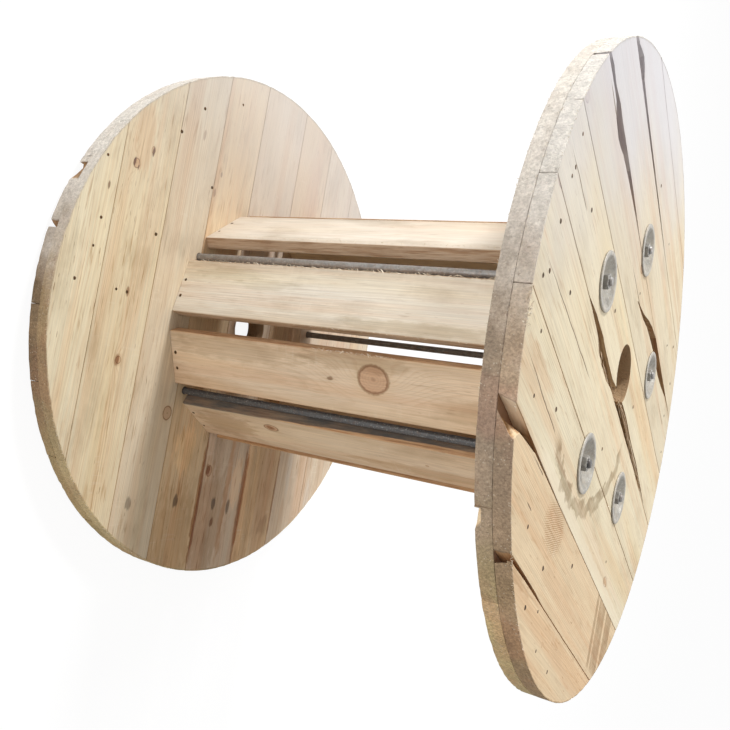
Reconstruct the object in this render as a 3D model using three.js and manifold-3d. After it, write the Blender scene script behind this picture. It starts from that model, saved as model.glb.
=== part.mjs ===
// Wooden cable drum. Two round flanges, each of two crossed layers of sawn boards, are held on a
// slatted barrel of flat staves by five steel tie rods with dished washers and nuts.
// Millimetres, +Z up. The drum stands on its lower end, its axis is Z, and the origin is on the
// axis at the level of the floor, which the ends of the tie rods touch.
import * as THREE from 'three';
import { mergeVertices } from 'three/addons/utils/BufferGeometryUtils.js';
import Module from 'manifold-3d';

const wasm = await Module();
wasm.setup();

// Driving dimensions
const flangeDiameter = 1200;
const flangeBoard = 25;          // thickness of one layer of flange boards
const windingWidth = 856;        // clear width between the flanges
const barrelDiameter = 560;      // over the corners of the staves
const staveThickness = 28;
const spindleBore = 112;
const rodDiameter = 16;
const rodInset = 20;             // rod centre below the barrel's corner circle
const rodOverhang = 5;           // rod end beyond its nut
const nutAcrossFlats = 24;
const nutHeight = 13;
const washerDiameter = 104;
const washerThickness = 3;
const dishDiameter = 88;         // mouth of the washer's dish
const dishSeat = 34;             // flat floor of the dish, under the nut
const dishDepth = 9.5;           // floor of the dish below the flange's outer face
const dishCurve = 1.35;          // 1 is a straight cone, and more is a rounder bowl
const boardSeam = 1.6;           // gap between neighbouring boards
const arris = 1.5;               // sawn edge taken off each stave
const clearance = 0.3;           // between pieces that bear on each other
const rodHoleClearance = 1;

// Facets in one turn
const rimFacets = 96;
const boreFacets = 32;
const washerFacets = 20;
const nutFacets = 12;
const rodFacets = 16;
const bowlSteps = 3;

const deg = Math.PI / 180;
const cutMargin = 1;             // how far a cutter reaches past what it cuts
const flangeRadius = flangeDiameter / 2;
const barrelRadius = barrelDiameter / 2;
const innerLayerHeight = windingWidth / 2 + flangeBoard / 2;
const outerLayerHeight = innerLayerHeight + flangeBoard + clearance;
const outerFaceHeight = outerLayerHeight + flangeBoard / 2;
const nutSeatHeight = outerFaceHeight - dishDepth + clearance;
const rodEndHeight = nutSeatHeight + nutHeight + rodOverhang;

// The five rods stand at equal angles from +X towards +Y, each in a gap between two staves.
const rodCount = 5;
const firstRodAngle = 150;
const rodCircle = barrelRadius - rodInset;
const rodPlaces = Array.from({ length: rodCount }, (_, i) => {
  const angle = (firstRodAngle + (360 / rodCount) * i) * deg;
  return { x: rodCircle * Math.cos(angle), y: rodCircle * Math.sin(angle) };
});

// Each stave spans these directions, in degrees, on the barrel's corner circle. The gaps that
// hold a rod are wider than the others, and the sawn widths differ as they come.
const staveSpans = [
  [157, 178], [185, 212.7], [227.5, 253], [261.7, 287], [298, 323],
  [331, 358.5], [374, 399], [407.5, 431], [445, 471], [479, 502.5],
];

// Board widths from one edge of the flange to the other. They keep these proportions and fill
// the flange. "across" is the direction, in degrees from +X, in which the boards follow each other.
const layers = {
  lower_outer: { side: -1, outer: true, across: 162, widths: [130, 131, 142, 144, 150, 155, 163, 185] },
  lower_inner: { side: -1, outer: false, across: 72, widths: [109, 142, 130, 136, 167, 138, 139, 131, 108] },
  upper_inner: { side: 1, outer: false, across: 226.4, widths: [116, 140, 139, 141, 160, 158, 133, 116, 97] },
  upper_outer: { side: 1, outer: true, across: 136.4, widths: [101, 143, 139, 154, 141, 139, 149, 142, 92] },
};

// Wood that is missing beside the seams: splits, torn slivers and waney edges. Each station is a
// distance up the boards from their middle, then the left and right edge of the missing wood,
// measured from the seam after the given board. The cut goes right through unless it has a depth,
// and starts on the outer face unless it is on the winding side. "batter" is how far its left and
// right walls lean in at the foot, as a share of its width, and is negative for an undercut wall.
const missingWood = {
  upper_outer: [
    {
      board: 4, // split past the spindle bore, with a splinter that is still held at its lower end
      stations: [[330, -1, 1], [270, -1, 10], [200, -1, 14], [160, -1, 10], [70, -1, 8], [20, 3, 17],
        [-20, 7, 22], [-60, 12, 25], [-110, 12, 26], [-190, 9, 19], [-290, 9, 19], [-400, 5, 10],
        [-470, 3, 4]],
    },
    {
      board: 4, // splintered slope on the left of the split
      depth: 9,
      batter: [0.95, 0],
      stations: [[290, -3, 3], [230, -8, 6], [200, -21, 4], [160, -27, 2], [120, -24, 1],
        [70, -13, 1], [0, -11, 8], [-60, -10, 14], [-110, -8, 14], [-190, -6, 11], [-290, -3, 11],
        [-400, -1, 3]],
    },
    {
      board: 6, // sliver torn off the edge below the second rod
      batter: [0.15, 0],
      stations: [[34, -71, -69], [-40, -59, -48], [-90, -45, -27], [-135, -39, -12], [-200, -32, 0],
        [-300, -31, 0], [-370, -21, 0], [-440, -6, 1], [-520, -1, 1]],
    },
    {
      board: 6, // waney edge, widest some way in from the rim
      batter: [0, 0.1],
      stations: [[620, -1, 10], [555, -1, 10], [525, -1, 15], [489, -1, 9], [470, -3, 13],
        [448, -17, 16], [412, -23, 12], [390, -20, 12], [365, -13, 12], [303, -7, 11],
        [239, -3, 8], [160, -1, 3], [60, -1, 1]],
    },
    {
      board: 7, // waney edge that bites deepest some way in from the rim
      batter: [0, 0.3],
      stations: [[520, -1, 13], [448, -1, 15], [424, -1, 26], [408, -1, 32], [390, -1, 27],
        [370, -1, 15], [300, -1, 12], [226, -1, 10], [110, -1, 8], [-40, -1, 4], [-90, -1, 1]],
    },
    {
      board: 2, // split that runs in from the rim, undercut on its right
      batter: [0, -0.9],
      stations: [[540, -1, 7], [444, -1, 7], [392, -1, 5], [357, -1, 4], [290, -1, 3],
        [200, -1, 1]],
    },
    {
      board: 2, // corner that broke off at a slant beside that split
      batter: [0.85, 0.1],
      stations: [[540, -38, 5], [460, -36, 5], [452, -22, 5], [444, -14, 4], [420, -10, 3],
        [392, -6, 2], [365, -2, 1]],
    },
    {
      board: 1, // seam that opens towards the rim
      batter: [0.1, 0],
      stations: [[400, -3, 5], [330, -3, 5], [254, -1, 5], [190, -1, 4], [135, -1, 1]],
    },
    {
      board: 1, // hollow under that seam's end
      onWindingSide: true,
      depth: 18,
      batter: [0.3, 0.2],
      stations: [[400, -9, 4], [334, -9, 4], [300, -6, 3], [260, -1, 1]],
    },
  ],
  upper_inner: [
    {
      board: 7, // waney corner
      onWindingSide: true,
      depth: 9,
      batter: [0.3, 0],
      stations: [[520, -32, -1], [470, -28, -1], [455, -20, -1], [438, -6, -1]],
    },
  ],
  lower_outer: [
    { board: 6, stations: [[620, -60, -10], [567, -56, -12], [552, -40, -14], [540, -24, -16]] },
    { board: 5, stations: [[640, -1, 20], [592, -1, 18], [583, -1, 9], [572, -1, 1]] },
  ],
};

// Colours
const palette = {
  pine: { color: 0xd9bf97, roughness: 0.85, metalness: 0 },
  palePine: { color: 0xe4d3b4, roughness: 0.85, metalness: 0 },
  stave: { color: 0xd8bb94, roughness: 0.85, metalness: 0 },
  zinc: { color: 0xa3a4a0, roughness: 0.45, metalness: 0.85 },
  rod: { color: 0x77736e, roughness: 0.5, metalness: 0.8 },
};
const materials = Object.fromEntries(
  Object.entries(palette).map(([name, look]) => [name, new THREE.MeshStandardMaterial(look)]),
);

// Booleans
function solid(geometry) {
  const bare = geometry.clone();
  bare.deleteAttribute('normal');
  bare.deleteAttribute('uv');
  const merged = mergeVertices(bare, 1e-4);
  return new wasm.Manifold(new wasm.Mesh({
    numProp: 3,
    vertProperties: Float32Array.from(merged.attributes.position.array),
    triVerts: Uint32Array.from(merged.index.array),
  }));
}

function geometryOf(manifold) {
  const mesh = manifold.getMesh();
  const geometry = new THREE.BufferGeometry();
  geometry.setAttribute('position', new THREE.BufferAttribute(mesh.vertProperties, 3));
  geometry.setIndex(new THREE.BufferAttribute(mesh.triVerts, 1));
  geometry.computeVertexNormals();
  return geometry;
}

// A round bar that stands on Z, centred on the origin
function bar(radius, length, facets) {
  return new THREE.CylinderGeometry(radius, radius, length, facets).rotateX(90 * deg);
}

// A closed profile of [radius, z] points, anticlockwise with z up, turned about Z
function turned(profile, facets) {
  const points = profile.map(([radius, z]) => new THREE.Vector2(radius, z));
  points.push(points[0].clone());
  return new THREE.LatheGeometry(points, facets).rotateX(90 * deg);
}

// A skin through convex sections with equally many corners, anticlockwise about the way they
// follow each other
function loft(sections) {
  const corners = sections[0].length;
  const last = (sections.length - 1) * corners;
  const index = [];
  for (let start = 0; start < last; start += corners) {
    for (let i = 0; i < corners; i += 1) {
      const here = start + i;
      const next = start + ((i + 1) % corners);
      index.push(here, next, next + corners, here, next + corners, here + corners);
    }
  }
  for (let i = 1; i < corners - 1; i += 1) {
    index.push(0, i + 1, i, last, last + i, last + i + 1);
  }
  const geometry = new THREE.BufferGeometry();
  geometry.setAttribute('position', new THREE.Float32BufferAttribute(sections.flat(2), 3));
  return geometry.setIndex(index);
}

// Dished washer: a flat rim on the flange's face and a bowl sunk into the outer boards.
// z = 0 is the flange's outer face and +Z is outwards.
function bowl(mouthRadius, seatRadius, floorZ, mouthZ) {
  return Array.from({ length: bowlSteps + 1 }, (_, i) => {
    const way = i / bowlSteps;
    const rise = way ** dishCurve;
    return [seatRadius + (mouthRadius - seatRadius) * way, floorZ + (mouthZ - floorZ) * rise];
  });
}

const washerRadius = washerDiameter / 2;
const washerTop = clearance + washerThickness;
const bowlTop = bowl(dishDiameter / 2, dishSeat / 2, -dishDepth, washerTop);
const bowlUnder = bowl(
  dishDiameter / 2 + washerThickness / 2, dishSeat / 2 + washerThickness / 2,
  -dishDepth - washerThickness, clearance,
);
const washerHole = rodDiameter / 2 + rodHoleClearance / 2;

function washerGeometry() {
  const profile = [
    [washerHole, -dishDepth - washerThickness],
    ...bowlUnder,
    [washerRadius, clearance],
    [washerRadius, washerTop],
    ...bowlTop.toReversed(),
    [washerHole, -dishDepth],
  ];
  return turned(profile, washerFacets);
}

// The pocket that the bowl sits in, with the rod's hole below it
function pocketGeometry() {
  const holeRadius = rodDiameter / 2 + rodHoleClearance;
  const below = -flangeBoard - cutMargin;
  const pocket = bowlUnder.map(([radius, z]) => [radius + clearance, z - clearance]);
  const [, pocketFloor] = pocket[0];
  const [mouthRadius] = pocket.at(-1);
  return turned([
    [0, below],
    [holeRadius, below],
    [holeRadius, pocketFloor],
    ...pocket,
    [mouthRadius, washerTop],
    [0, washerTop],
  ], washerFacets);
}

// Hexagon nut with its corners chamfered both ways, from z = 0 to its height
function nutGeometry() {
  const cornerRadius = nutAcrossFlats / Math.sqrt(3);
  const chamfer = (cornerRadius - nutAcrossFlats / 2) * Math.tan(30 * deg);
  const hexagon = bar(cornerRadius, nutHeight, 6).translate(0, 0, nutHeight / 2);
  const rounding = turned([
    [0, 0],
    [nutAcrossFlats / 2, 0],
    [cornerRadius, chamfer],
    [cornerRadius, nutHeight - chamfer],
    [nutAcrossFlats / 2, nutHeight],
    [0, nutHeight],
  ], nutFacets);
  return geometryOf(solid(hexagon).intersect(solid(rounding)));
}

// A tie rod with the two nuts that are tightened on it
function tieRodGeometry() {
  const nut = nutGeometry();
  const upperNut = nut.clone().translate(0, 0, nutSeatHeight);
  const lowerNut = nut.clone().rotateX(180 * deg).translate(0, 0, -nutSeatHeight);
  const rod = bar(rodDiameter / 2, 2 * rodEndHeight, rodFacets);
  return geometryOf(solid(rod).add(solid(upperNut)).add(solid(lowerNut)));
}

// A stave is a flat board that stands on its end, centred on the origin. Its outer face is
// towards +X.
function staveGeometry(width) {
  const half = width / 2;
  const outline = [
    [0, half - arris], [-arris, half], [arris - staveThickness, half],
    [-staveThickness, half - arris], [-staveThickness, arris - half],
    [arris - staveThickness, -half], [-arris, -half], [0, arris - half],
  ];
  const shape = new THREE.Shape(outline.map(([x, y]) => new THREE.Vector2(x, y)));
  const length = windingWidth - 2 * clearance;
  return new THREE.ExtrudeGeometry(shape, { depth: length, bevelEnabled: false })
    .translate(0, 0, -length / 2);
}

// The seams of a layer, from one edge of the flange to the other
function seamsOf(widths) {
  const total = widths.reduce((sum, width) => sum + width, 0);
  const seams = [-flangeRadius];
  for (const width of widths) {
    seams.push(seams.at(-1) + (width / total) * flangeDiameter);
  }
  return seams;
}

// A piece of missing wood as a cutter, in a layer that is centred on z = 0 and has its boards
// along Y. faceSide is 1 where the face that it starts on is the upper one, and -1 otherwise.
function woodCutter({ stations, depth = flangeBoard + cutMargin, batter = [0, 0] }, seam, faceSide) {
  const faceZ = faceSide * (flangeBoard / 2 + cutMargin);
  const footZ = faceSide * (flangeBoard / 2 - depth);
  const sections = stations.map(([along, left, right]) => {
    const width = right - left;
    const corners = [
      [seam + left + batter[0] * width, along, footZ],
      [seam + right - batter[1] * width, along, footZ],
      [seam + right, along, faceZ],
      [seam + left, along, faceZ],
    ];
    return faceSide > 0 ? corners : corners.toReversed();
  });
  return solid(loft(sections));
}

// One layer of flange boards, centred on its own middle plane
function flangeLayer(name, { side, outer, across, widths }) {
  const group = new THREE.Group();
  group.position.z = side * (outer ? outerLayerHeight : innerLayerHeight);

  const disc = solid(bar(flangeRadius, flangeBoard, rimFacets));
  const through = flangeBoard + 2 * cutMargin;
  const cutters = [solid(bar(spindleBore / 2, through, boreFacets))];
  for (const { x, y } of rodPlaces) {
    const hole = outer
      ? pocketGeometry().translate(0, 0, flangeBoard / 2).rotateX(side < 0 ? 180 * deg : 0)
      : bar(rodDiameter / 2 + rodHoleClearance, through, washerFacets);
    cutters.push(solid(hole.translate(x, y, 0)));
  }
  const seams = seamsOf(widths);
  for (const cut of missingWood[name] ?? []) {
    const faceSide = cut.onWindingSide ? -side : side;
    cutters.push(woodCutter(cut, seams[cut.board], faceSide).rotate([0, 0, across]));
  }

  for (let i = 0; i < widths.length; i += 1) {
    const width = seams[i + 1] - seams[i] - boardSeam;
    const strip = new THREE.BoxGeometry(width, flangeDiameter + 2 * cutMargin, through)
      .translate((seams[i] + seams[i + 1]) / 2, 0, 0)
      .rotateZ(across * deg);
    let board = disc.intersect(solid(strip));
    for (const cutter of cutters) {
      board = board.subtract(cutter);
    }
    const mesh = new THREE.Mesh(geometryOf(board), outer ? materials.palePine : materials.pine);
    mesh.name = `${name}_board_${i + 1}`;
    group.add(mesh);
  }
  return group;
}

const drum = new THREE.Group();
drum.position.z = rodEndHeight;

for (const [name, layer] of Object.entries(layers)) {
  drum.add(flangeLayer(name, layer));
}

staveSpans.forEach(([from, to], i) => {
  const halfSpan = ((to - from) / 2) * deg;
  const middle = ((from + to) / 2) * deg;
  const faceRadius = barrelRadius * Math.cos(halfSpan);
  const stave = new THREE.Mesh(
    staveGeometry(2 * barrelRadius * Math.sin(halfSpan)),
    materials.stave,
  );
  stave.name = `stave_${i + 1}`;
  stave.position.set(faceRadius * Math.cos(middle), faceRadius * Math.sin(middle), 0);
  stave.rotation.z = middle;
  drum.add(stave);
});

const tieRod = tieRodGeometry();
const washer = washerGeometry();
rodPlaces.forEach(({ x, y }, i) => {
  const fastening = new THREE.Group();
  fastening.position.set(x, y, 0);

  const rod = new THREE.Mesh(tieRod, materials.rod);
  rod.name = `tie_rod_${i + 1}`;
  fastening.add(rod);

  for (const [end, side] of [['upper', 1], ['lower', -1]]) {
    const dished = new THREE.Mesh(washer, materials.zinc);
    dished.name = `${end}_washer_${i + 1}`;
    dished.position.z = side * outerFaceHeight;
    dished.rotation.x = side < 0 ? Math.PI : 0;
    fastening.add(dished);
  }
  drum.add(fastening);
});

export default drum;
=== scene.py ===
import math
import random

import bmesh
import bpy
from mathutils import Matrix, Vector, geometry, noise


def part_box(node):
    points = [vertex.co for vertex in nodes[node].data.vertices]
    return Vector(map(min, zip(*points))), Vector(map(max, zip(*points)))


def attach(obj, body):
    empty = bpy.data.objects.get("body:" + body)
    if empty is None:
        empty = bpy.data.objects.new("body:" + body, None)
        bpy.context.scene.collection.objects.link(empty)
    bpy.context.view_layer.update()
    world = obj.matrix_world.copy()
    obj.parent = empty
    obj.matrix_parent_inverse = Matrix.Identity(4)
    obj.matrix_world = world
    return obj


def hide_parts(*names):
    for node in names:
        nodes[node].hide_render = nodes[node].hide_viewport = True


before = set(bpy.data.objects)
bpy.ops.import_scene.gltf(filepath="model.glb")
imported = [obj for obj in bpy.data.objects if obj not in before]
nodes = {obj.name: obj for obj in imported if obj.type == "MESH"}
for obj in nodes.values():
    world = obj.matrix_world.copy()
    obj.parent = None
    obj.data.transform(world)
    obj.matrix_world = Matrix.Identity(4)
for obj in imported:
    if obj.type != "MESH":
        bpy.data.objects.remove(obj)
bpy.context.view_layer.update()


# The lower flange's outer layer: eight rough-sawn pine boards, laid side by side and sawn round
# together once the flange is nailed up. Their long edges are square from the saw and lightly
# worn, and their ends on the rim are rough end grain.
MM = 0.001
FLANGE_RADIUS = 600 * MM
BORE_RADIUS = 56 * MM
LOWER_OUTER_RUN = math.radians(162)   # the way in which a layer's boards follow each other
RIM_STEP = 9 * MM             # spacing of the small chips along the rim
SEAM_STEP = 24 * MM           # spacing of the waves along a sawn edge
SAW_TOOTH = 3.6 * MM          # spacing of the saw's marks round the rim
COARSE, FINE = 90, 260        # how many bumps of the worn edges come in a metre
HAIR = 0.02 * MM              # corners closer than this are one corner
FLAT = math.radians(0.6)      # triangles that lean less than this lie in one face
SHARP = math.radians(28)      # an edge sharper than this has worn round
BOARD_RANGE = 10.0            # each board reads its own stretch of the log
NO_STEP = 10.0                # longer than any edge, so that the edge stays in one piece
NO_KNOT = 99.0                # how far off a knot is where there is none, in its radii

cream = (0.800, 0.655, 0.455)
straw = (0.775, 0.610, 0.400)
honey = (0.745, 0.560, 0.345)
tan = (0.690, 0.510, 0.325)


def flat_faces(solid):
    """Sorts a solid's triangles into flat faces: each triangle's face number, and the normals."""
    group, normals = {}, []
    for seed in sorted(solid.faces, key=lambda face: -face.calc_area()):
        if seed in group:
            continue
        group[seed] = len(normals)
        normals.append(seed.normal.copy())
        front = [seed]
        while front:
            for edge in front.pop().edges:
                for face in edge.link_faces:
                    sliver = face.calc_area() < HAIR * max(side.calc_length() for side in face.edges)
                    level = face.normal.dot(normals[-1]) > math.cos(FLAT)
                    if face not in group and (level or sliver):
                        group[face] = group[seed]
                        front.append(face)
    return group, normals


def outlines(solid, group, normals):
    """Each flat face's outlines as rings of point numbers, and the two faces that meet at each edge."""
    ahead = [{} for _ in normals]
    meets = {}
    for face in solid.faces:
        for corner in face.loops:
            start, end = corner.vert.index, corner.link_loop_next.vert.index
            others = {group[other] for other in corner.edge.link_faces} - {group[face]}
            if others:
                ahead[group[face]].setdefault(start, []).append(end)
                meets[start, end] = (group[face], others.pop())
    rings = []
    for steps in ahead:
        rings.append([])
        while steps:
            ring = [next(iter(steps))]
            while ring[-1] in steps:
                ends = steps[ring[-1]]
                ring.append(ends.pop())
                if not ends:
                    del steps[ring[-2]]
                if ring[-1] == ring[0]:
                    break
            rings[-1].append(ring[:-1])
    return rings, meets


def worn_mesh(node, name, wear, seed, across, swell=0.0, rim_depth=1.1 * MM, seam_depth=0.4 * MM):
    """A board with its edges worn round. Each flat face is laid again inside a strip as wide as the
    wear, the points on the edge move in, moisture swells the board across, and the rim gets its chips."""
    solid = bmesh.new()
    solid.from_mesh(nodes[node].data)
    bmesh.ops.remove_doubles(solid, verts=solid.verts, dist=HAIR)
    bmesh.ops.triangulate(solid, faces=solid.faces)
    solid.verts.index_update()
    points = [vert.co.copy() for vert in solid.verts]
    group, normals = flat_faces(solid)
    rings, meets = outlines(solid, group, normals)
    solid.free()

    def split(start, end, step):
        """The edge's point numbers, with new points about one step apart."""
        if (end, start) in chains:
            return chains[end, start][::-1]
        if (start, end) not in chains:
            parts = max(1, round((points[end] - points[start]).length / step))
            added = range(len(points), len(points) + parts - 1)
            points.extend(points[start].lerp(points[end], i / parts) for i in range(1, parts))
            chains[start, end] = [start, *added, end]
        return chains[start, end]

    def slide(point, towards):
        """A new point a short way along an edge that stays sharp."""
        if (point, towards) not in slides:
            gap = points[towards] - points[point]
            slides[point, towards] = len(points)
            points.append(points[point] + gap * min(wear / gap.length, 0.4))
        return slides[point, towards]

    chains, slides, bare, sides = {}, {}, set(), {}
    traced = []
    for here, face_rings in enumerate(rings):
        for ring in face_rings:
            trace = []
            for start, end in zip(ring, ring[1:] + ring[:1]):
                other = meets[start, end][1]
                inward = normals[here].cross(points[end] - points[start]).normalized()
                turn = normals[here].angle(normals[other])
                worn = turn > SHARP and normals[other].dot(inward) < 0
                at_rim = min(points[i].xy.length for i in (start, end)) > FLANGE_RADIUS - 6 * MM
                step = RIM_STEP if at_rim else SEAM_STEP if worn else NO_STEP
                chain = split(start, end, step)
                if worn:
                    bare.update(chain)
                    for point in chain:
                        sides.setdefault(point, set()).update((here, other))
                trace += [(point, worn) for point in chain[:-1]]
            traced.append((here, trace))

    faces = []
    for here in range(len(normals)):
        loops = []
        for trace in (trace for owner, trace in traced if owner == here):
            inner, count = [], len(trace)
            laid = {}
            for k, (point, worn_after) in enumerate(trace):
                before, worn_before = trace[k - 1]
                after = trace[(k + 1) % count][0]
                if worn_before and worn_after:
                    first = normals[here].cross(points[point] - points[before]).normalized()
                    then = normals[here].cross(points[after] - points[point]).normalized()
                    mitre = (first + then) / max(0.35, 1 + first.dot(then))
                    points.append(points[point] + mitre * wear)
                    laid[k] = (len(points) - 1,)
                elif worn_before:
                    laid[k] = (slide(point, after),)
                elif worn_after:
                    laid[k] = (slide(point, before),)
                elif point in bare:
                    laid[k] = (slide(point, before), point, slide(point, after))
                else:
                    laid[k] = (point,)
                inner += laid[k]
            for k, (point, worn_after) in enumerate(trace):
                if worn_after:
                    last = (k + 1) % count
                    faces.append((point, trace[last][0], laid[last][0], laid[k][-1]))
            loops.append(inner)
        faces += fill(points, loops, normals[here])

    for point in bare:
        lean = [normals[side] for side in sides[point]]
        mean = sum(lean, Vector()).normalized()
        half = max(one.angle(other) for one in lean for other in lean) / 2
        corner = 1.0 if len(lean) < 3 else 1.4   # where three faces meet, the point moves further
        inward = wear * (1 / math.cos(half) - 1) / math.tan(half) * corner
        rough = max(0, noise.noise(points[point] * COARSE + Vector((seed, 0, 0))))
        points[point] = points[point] - mean * (inward + seam_depth * rough)
    places = [point.dot(across) for point in points]
    middle = (min(places) + max(places)) / 2
    half = (max(places) - min(places)) / 2
    for point, place in zip(points, places):
        point += across * swell * (place - middle) / half
        radius = point.xy.length
        if radius > FLANGE_RADIUS - 4 * MM:
            rough = noise.noise(point * COARSE + Vector((seed, 0, 0)))
            rough += 0.6 * noise.noise(point * FINE + Vector((0, seed, 0)))
            worn_to = radius - rim_depth * max(0, rough + 0.25)
            point.xy *= min(FLANGE_RADIUS - 0.1 * MM, worn_to) / radius
    made = bpy.data.meshes.new(name)
    made.from_pydata(points, [], faces)
    made.validate()
    return made


def inside(spot, flat, edges):
    """Whether a spot lies inside the outlines, counted by the edges on its right."""
    crossed = 0
    for start, end in edges:
        (ax, ay), (bx, by) = flat[start], flat[end]
        if (ay > spot.y) != (by > spot.y):
            crossed += spot.x < (bx - ax) * (spot.y - ay) / (by - ay) + ax
    return crossed % 2 == 1


def fill(points, loops, normal):
    """Triangles that fill a flat face inside its outlines, leaving its holes open."""
    right = normal.orthogonal().normalized()
    up = normal.cross(right)
    numbers = [point for loop in loops for point in loop]
    flat = [Vector((points[i].dot(right), points[i].dot(up))) for i in numbers]
    height = points[numbers[0]].dot(normal)
    edges, first = [], 0
    for loop in loops:
        edges += [(first + k, first + (k + 1) % len(loop)) for k in range(len(loop))]
        first += len(loop)
    places, _, triangles, origins, _, _ = geometry.delaunay_2d_cdt(flat, edges, [], 1, 1e-7)
    known = []
    for place, origin in zip(places, origins):
        if origin:
            known.append(numbers[origin[0]])
        else:
            known.append(len(points))
            points.append(right * place.x + up * place.y + normal * height)
    if len(loops) > 1:
        triangles = [
            triangle for triangle in triangles
            if inside(sum((places[k] for k in triangle), Vector((0, 0))) / 3, flat, edges)
        ]
    return [tuple(known[k] for k in triangle) for triangle in triangles]


def name_grain(mesh, number, along, across, middle, tone, pith, ring):
    """Writes each point's place in its own board: along, across and down from the board's middle."""
    down = along.cross(across)
    offsets = [vert.co - Vector(middle) for vert in mesh.vertices]
    half = max(abs(offset.dot(across)) for offset in offsets)
    count = len(offsets)
    places = [
        value for offset in offsets
        for value in (offset.dot(along) + BOARD_RANGE * number, offset.dot(across), offset.dot(down))
    ]
    mesh.attributes.new("grain", "FLOAT_VECTOR", "POINT").data.foreach_set("vector", places)
    mesh.attributes.new("log", "FLOAT_VECTOR", "POINT").data.foreach_set(
        "vector", [pith[0], pith[1], ring] * count)
    mesh.attributes.new("tone", "FLOAT_COLOR", "POINT").data.foreach_set(
        "color", [*tone, half] * count)
    wall = [1.0] * count
    for polygon in mesh.polygons:
        if abs(polygon.normal.dot(down)) > 0.8:
            for point in polygon.vertices:
                wall[point] = 0.0
    mesh.attributes.new("wall", "FLOAT", "POINT").data.foreach_set("value", wall)


def finish_mesh(made, number, frame_of_board, tone, pith, ring):
    """Smooths a board's mesh and writes its grain."""
    for polygon in made.polygons:
        polygon.use_smooth = True
    made.set_sharp_from_angle(angle=math.radians(50))
    name_grain(made, number, *frame_of_board, tone, pith, ring)


def new_object(name, data):
    made = bpy.data.objects.new(name, data)
    bpy.context.scene.collection.objects.link(made)
    return made


def set_board(node, made, material):
    """Puts a worn board in the place of its plain solid."""
    board = new_object(node + "_timber", made)
    made.materials.append(material)
    weighted = board.modifiers.new("even_shading", "WEIGHTED_NORMAL")
    weighted.keep_sharp = True
    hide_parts(node)
    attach(board, "root")


def lay_board(layer, i, direction, tone, material, chance, swell):
    """One flange board. direction is the way in which the boards follow each other."""
    node = f"{layer}_board_{i}"
    low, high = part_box(node)
    across = Vector((math.cos(direction), math.sin(direction), 0))
    along = Vector((-math.sin(direction), math.cos(direction), 0))
    places = [vert.co.dot(across) for vert in nodes[node].data.vertices]
    middle = across * (min(places) + max(places)) / 2 + Vector((0, 0, (low.z + high.z) / 2))
    made = worn_mesh(node, node + "_timber", 0.7 * MM, chance.uniform(0, 50), across, swell)
    pith = (chance.uniform(-0.06, 0.06), -chance.uniform(0.015, 0.11))
    ring = chance.uniform(0.0028, 0.0048)
    finish_mesh(made, board_number(layer, i), (along, across, middle), tone, pith, ring)
    set_board(node, made, material)


def lay_layer(layer, direction, tones, material, seed, swell=0.35 * MM):
    chance = random.Random(seed)
    for i, tone in enumerate(tones, start=1):
        lay_board(layer, i, direction, tone, material, chance, swell)


def feed(tree, node, inputs):
    """Links or sets a node's inputs. A colour is given by its red, green and blue."""
    for key, value in inputs.items():
        socket = node.inputs[key]
        if isinstance(value, bpy.types.NodeSocket):
            tree.links.new(value, socket)
        elif value is not None:
            socket.default_value = (*value, 1) if socket.type == "RGBA" else value


def put(tree, kind, inputs, **settings):
    """A new node, with its settings and its inputs."""
    made = tree.nodes.new(kind)
    for name, value in settings.items():
        setattr(made, name, value)
    feed(tree, made, inputs)
    return made


def maths(tree, operation, a, b=None, c=None):
    return put(tree, "ShaderNodeMath", {0: a, 1: b, 2: c}, operation=operation).outputs[0]


def times(tree, first, *others):
    """Values multiplied together, one after another."""
    for other in others:
        first = maths(tree, "MULTIPLY", first, other)
    return first


def plus(tree, a, b):
    return maths(tree, "ADD", a, b)


def less(tree, a, b):
    return maths(tree, "SUBTRACT", a, b)


def over(tree, a, b):
    return maths(tree, "DIVIDE", a, b)


def unsigned(tree, value):
    return maths(tree, "ABSOLUTE", value)


def about_zero(tree, value):
    """A value from 0 to 1, moved to run from -0.5 to 0.5."""
    return less(tree, value, 0.5)


def plus_times(tree, start, value, factor):
    """start + value * factor"""
    return maths(tree, "MULTIPLY_ADD", value, factor, start)


def vectors(tree, operation, a, b=None, out=0):
    return put(tree, "ShaderNodeVectorMath", {0: a, 1: b}, operation=operation).outputs[out]


def length(tree, vector):
    return vectors(tree, "LENGTH", vector, out=1)


def parts_of(tree, vector):
    """A vector's three parts."""
    return put(tree, "ShaderNodeSeparateXYZ", {0: vector}).outputs[:]


def joined(tree, x, y, z=0.0):
    """A vector made of three parts."""
    return put(tree, "ShaderNodeCombineXYZ", {0: x, 1: y, 2: z}).outputs[0]


def mixed(tree, factor, a, b, blend_type="MIX"):
    made = put(tree, "ShaderNodeMix", {0: factor, 6: a, 7: b}, data_type="RGBA",
               blend_type=blend_type)
    return made.outputs[2]


def dimmed(tree, factor, colour):
    """The colour times one factor."""
    grey = put(tree, "ShaderNodeCombineColor", {0: factor, 1: factor, 2: factor}).outputs[0]
    return mixed(tree, 1.0, colour, grey, "MULTIPLY")


def tinted(tree, cover, colour, tint):
    """The colour, multiplied by the tint where there is cover."""
    return mixed(tree, cover, colour, mixed(tree, 1.0, colour, tint, "MULTIPLY"))


def eased(tree, value, low, high, start=0.0, end=1.0):
    """start below low, end above high, and an easy curve between them."""
    made = put(tree, "ShaderNodeMapRange",
               {"Value": value, "From Min": low, "From Max": high, "To Min": start, "To Max": end},
               interpolation_type="SMOOTHSTEP")
    return made.outputs["Result"]


def cloud(tree, place, scale, detail, roughness=0.5):
    """Noise from 0 to 1, with the same scale all round."""
    made = put(tree, "ShaderNodeTexNoise",
               {"Vector": place, "Scale": scale, "Detail": detail, "Roughness": roughness})
    return made.outputs["Fac"]


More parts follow.
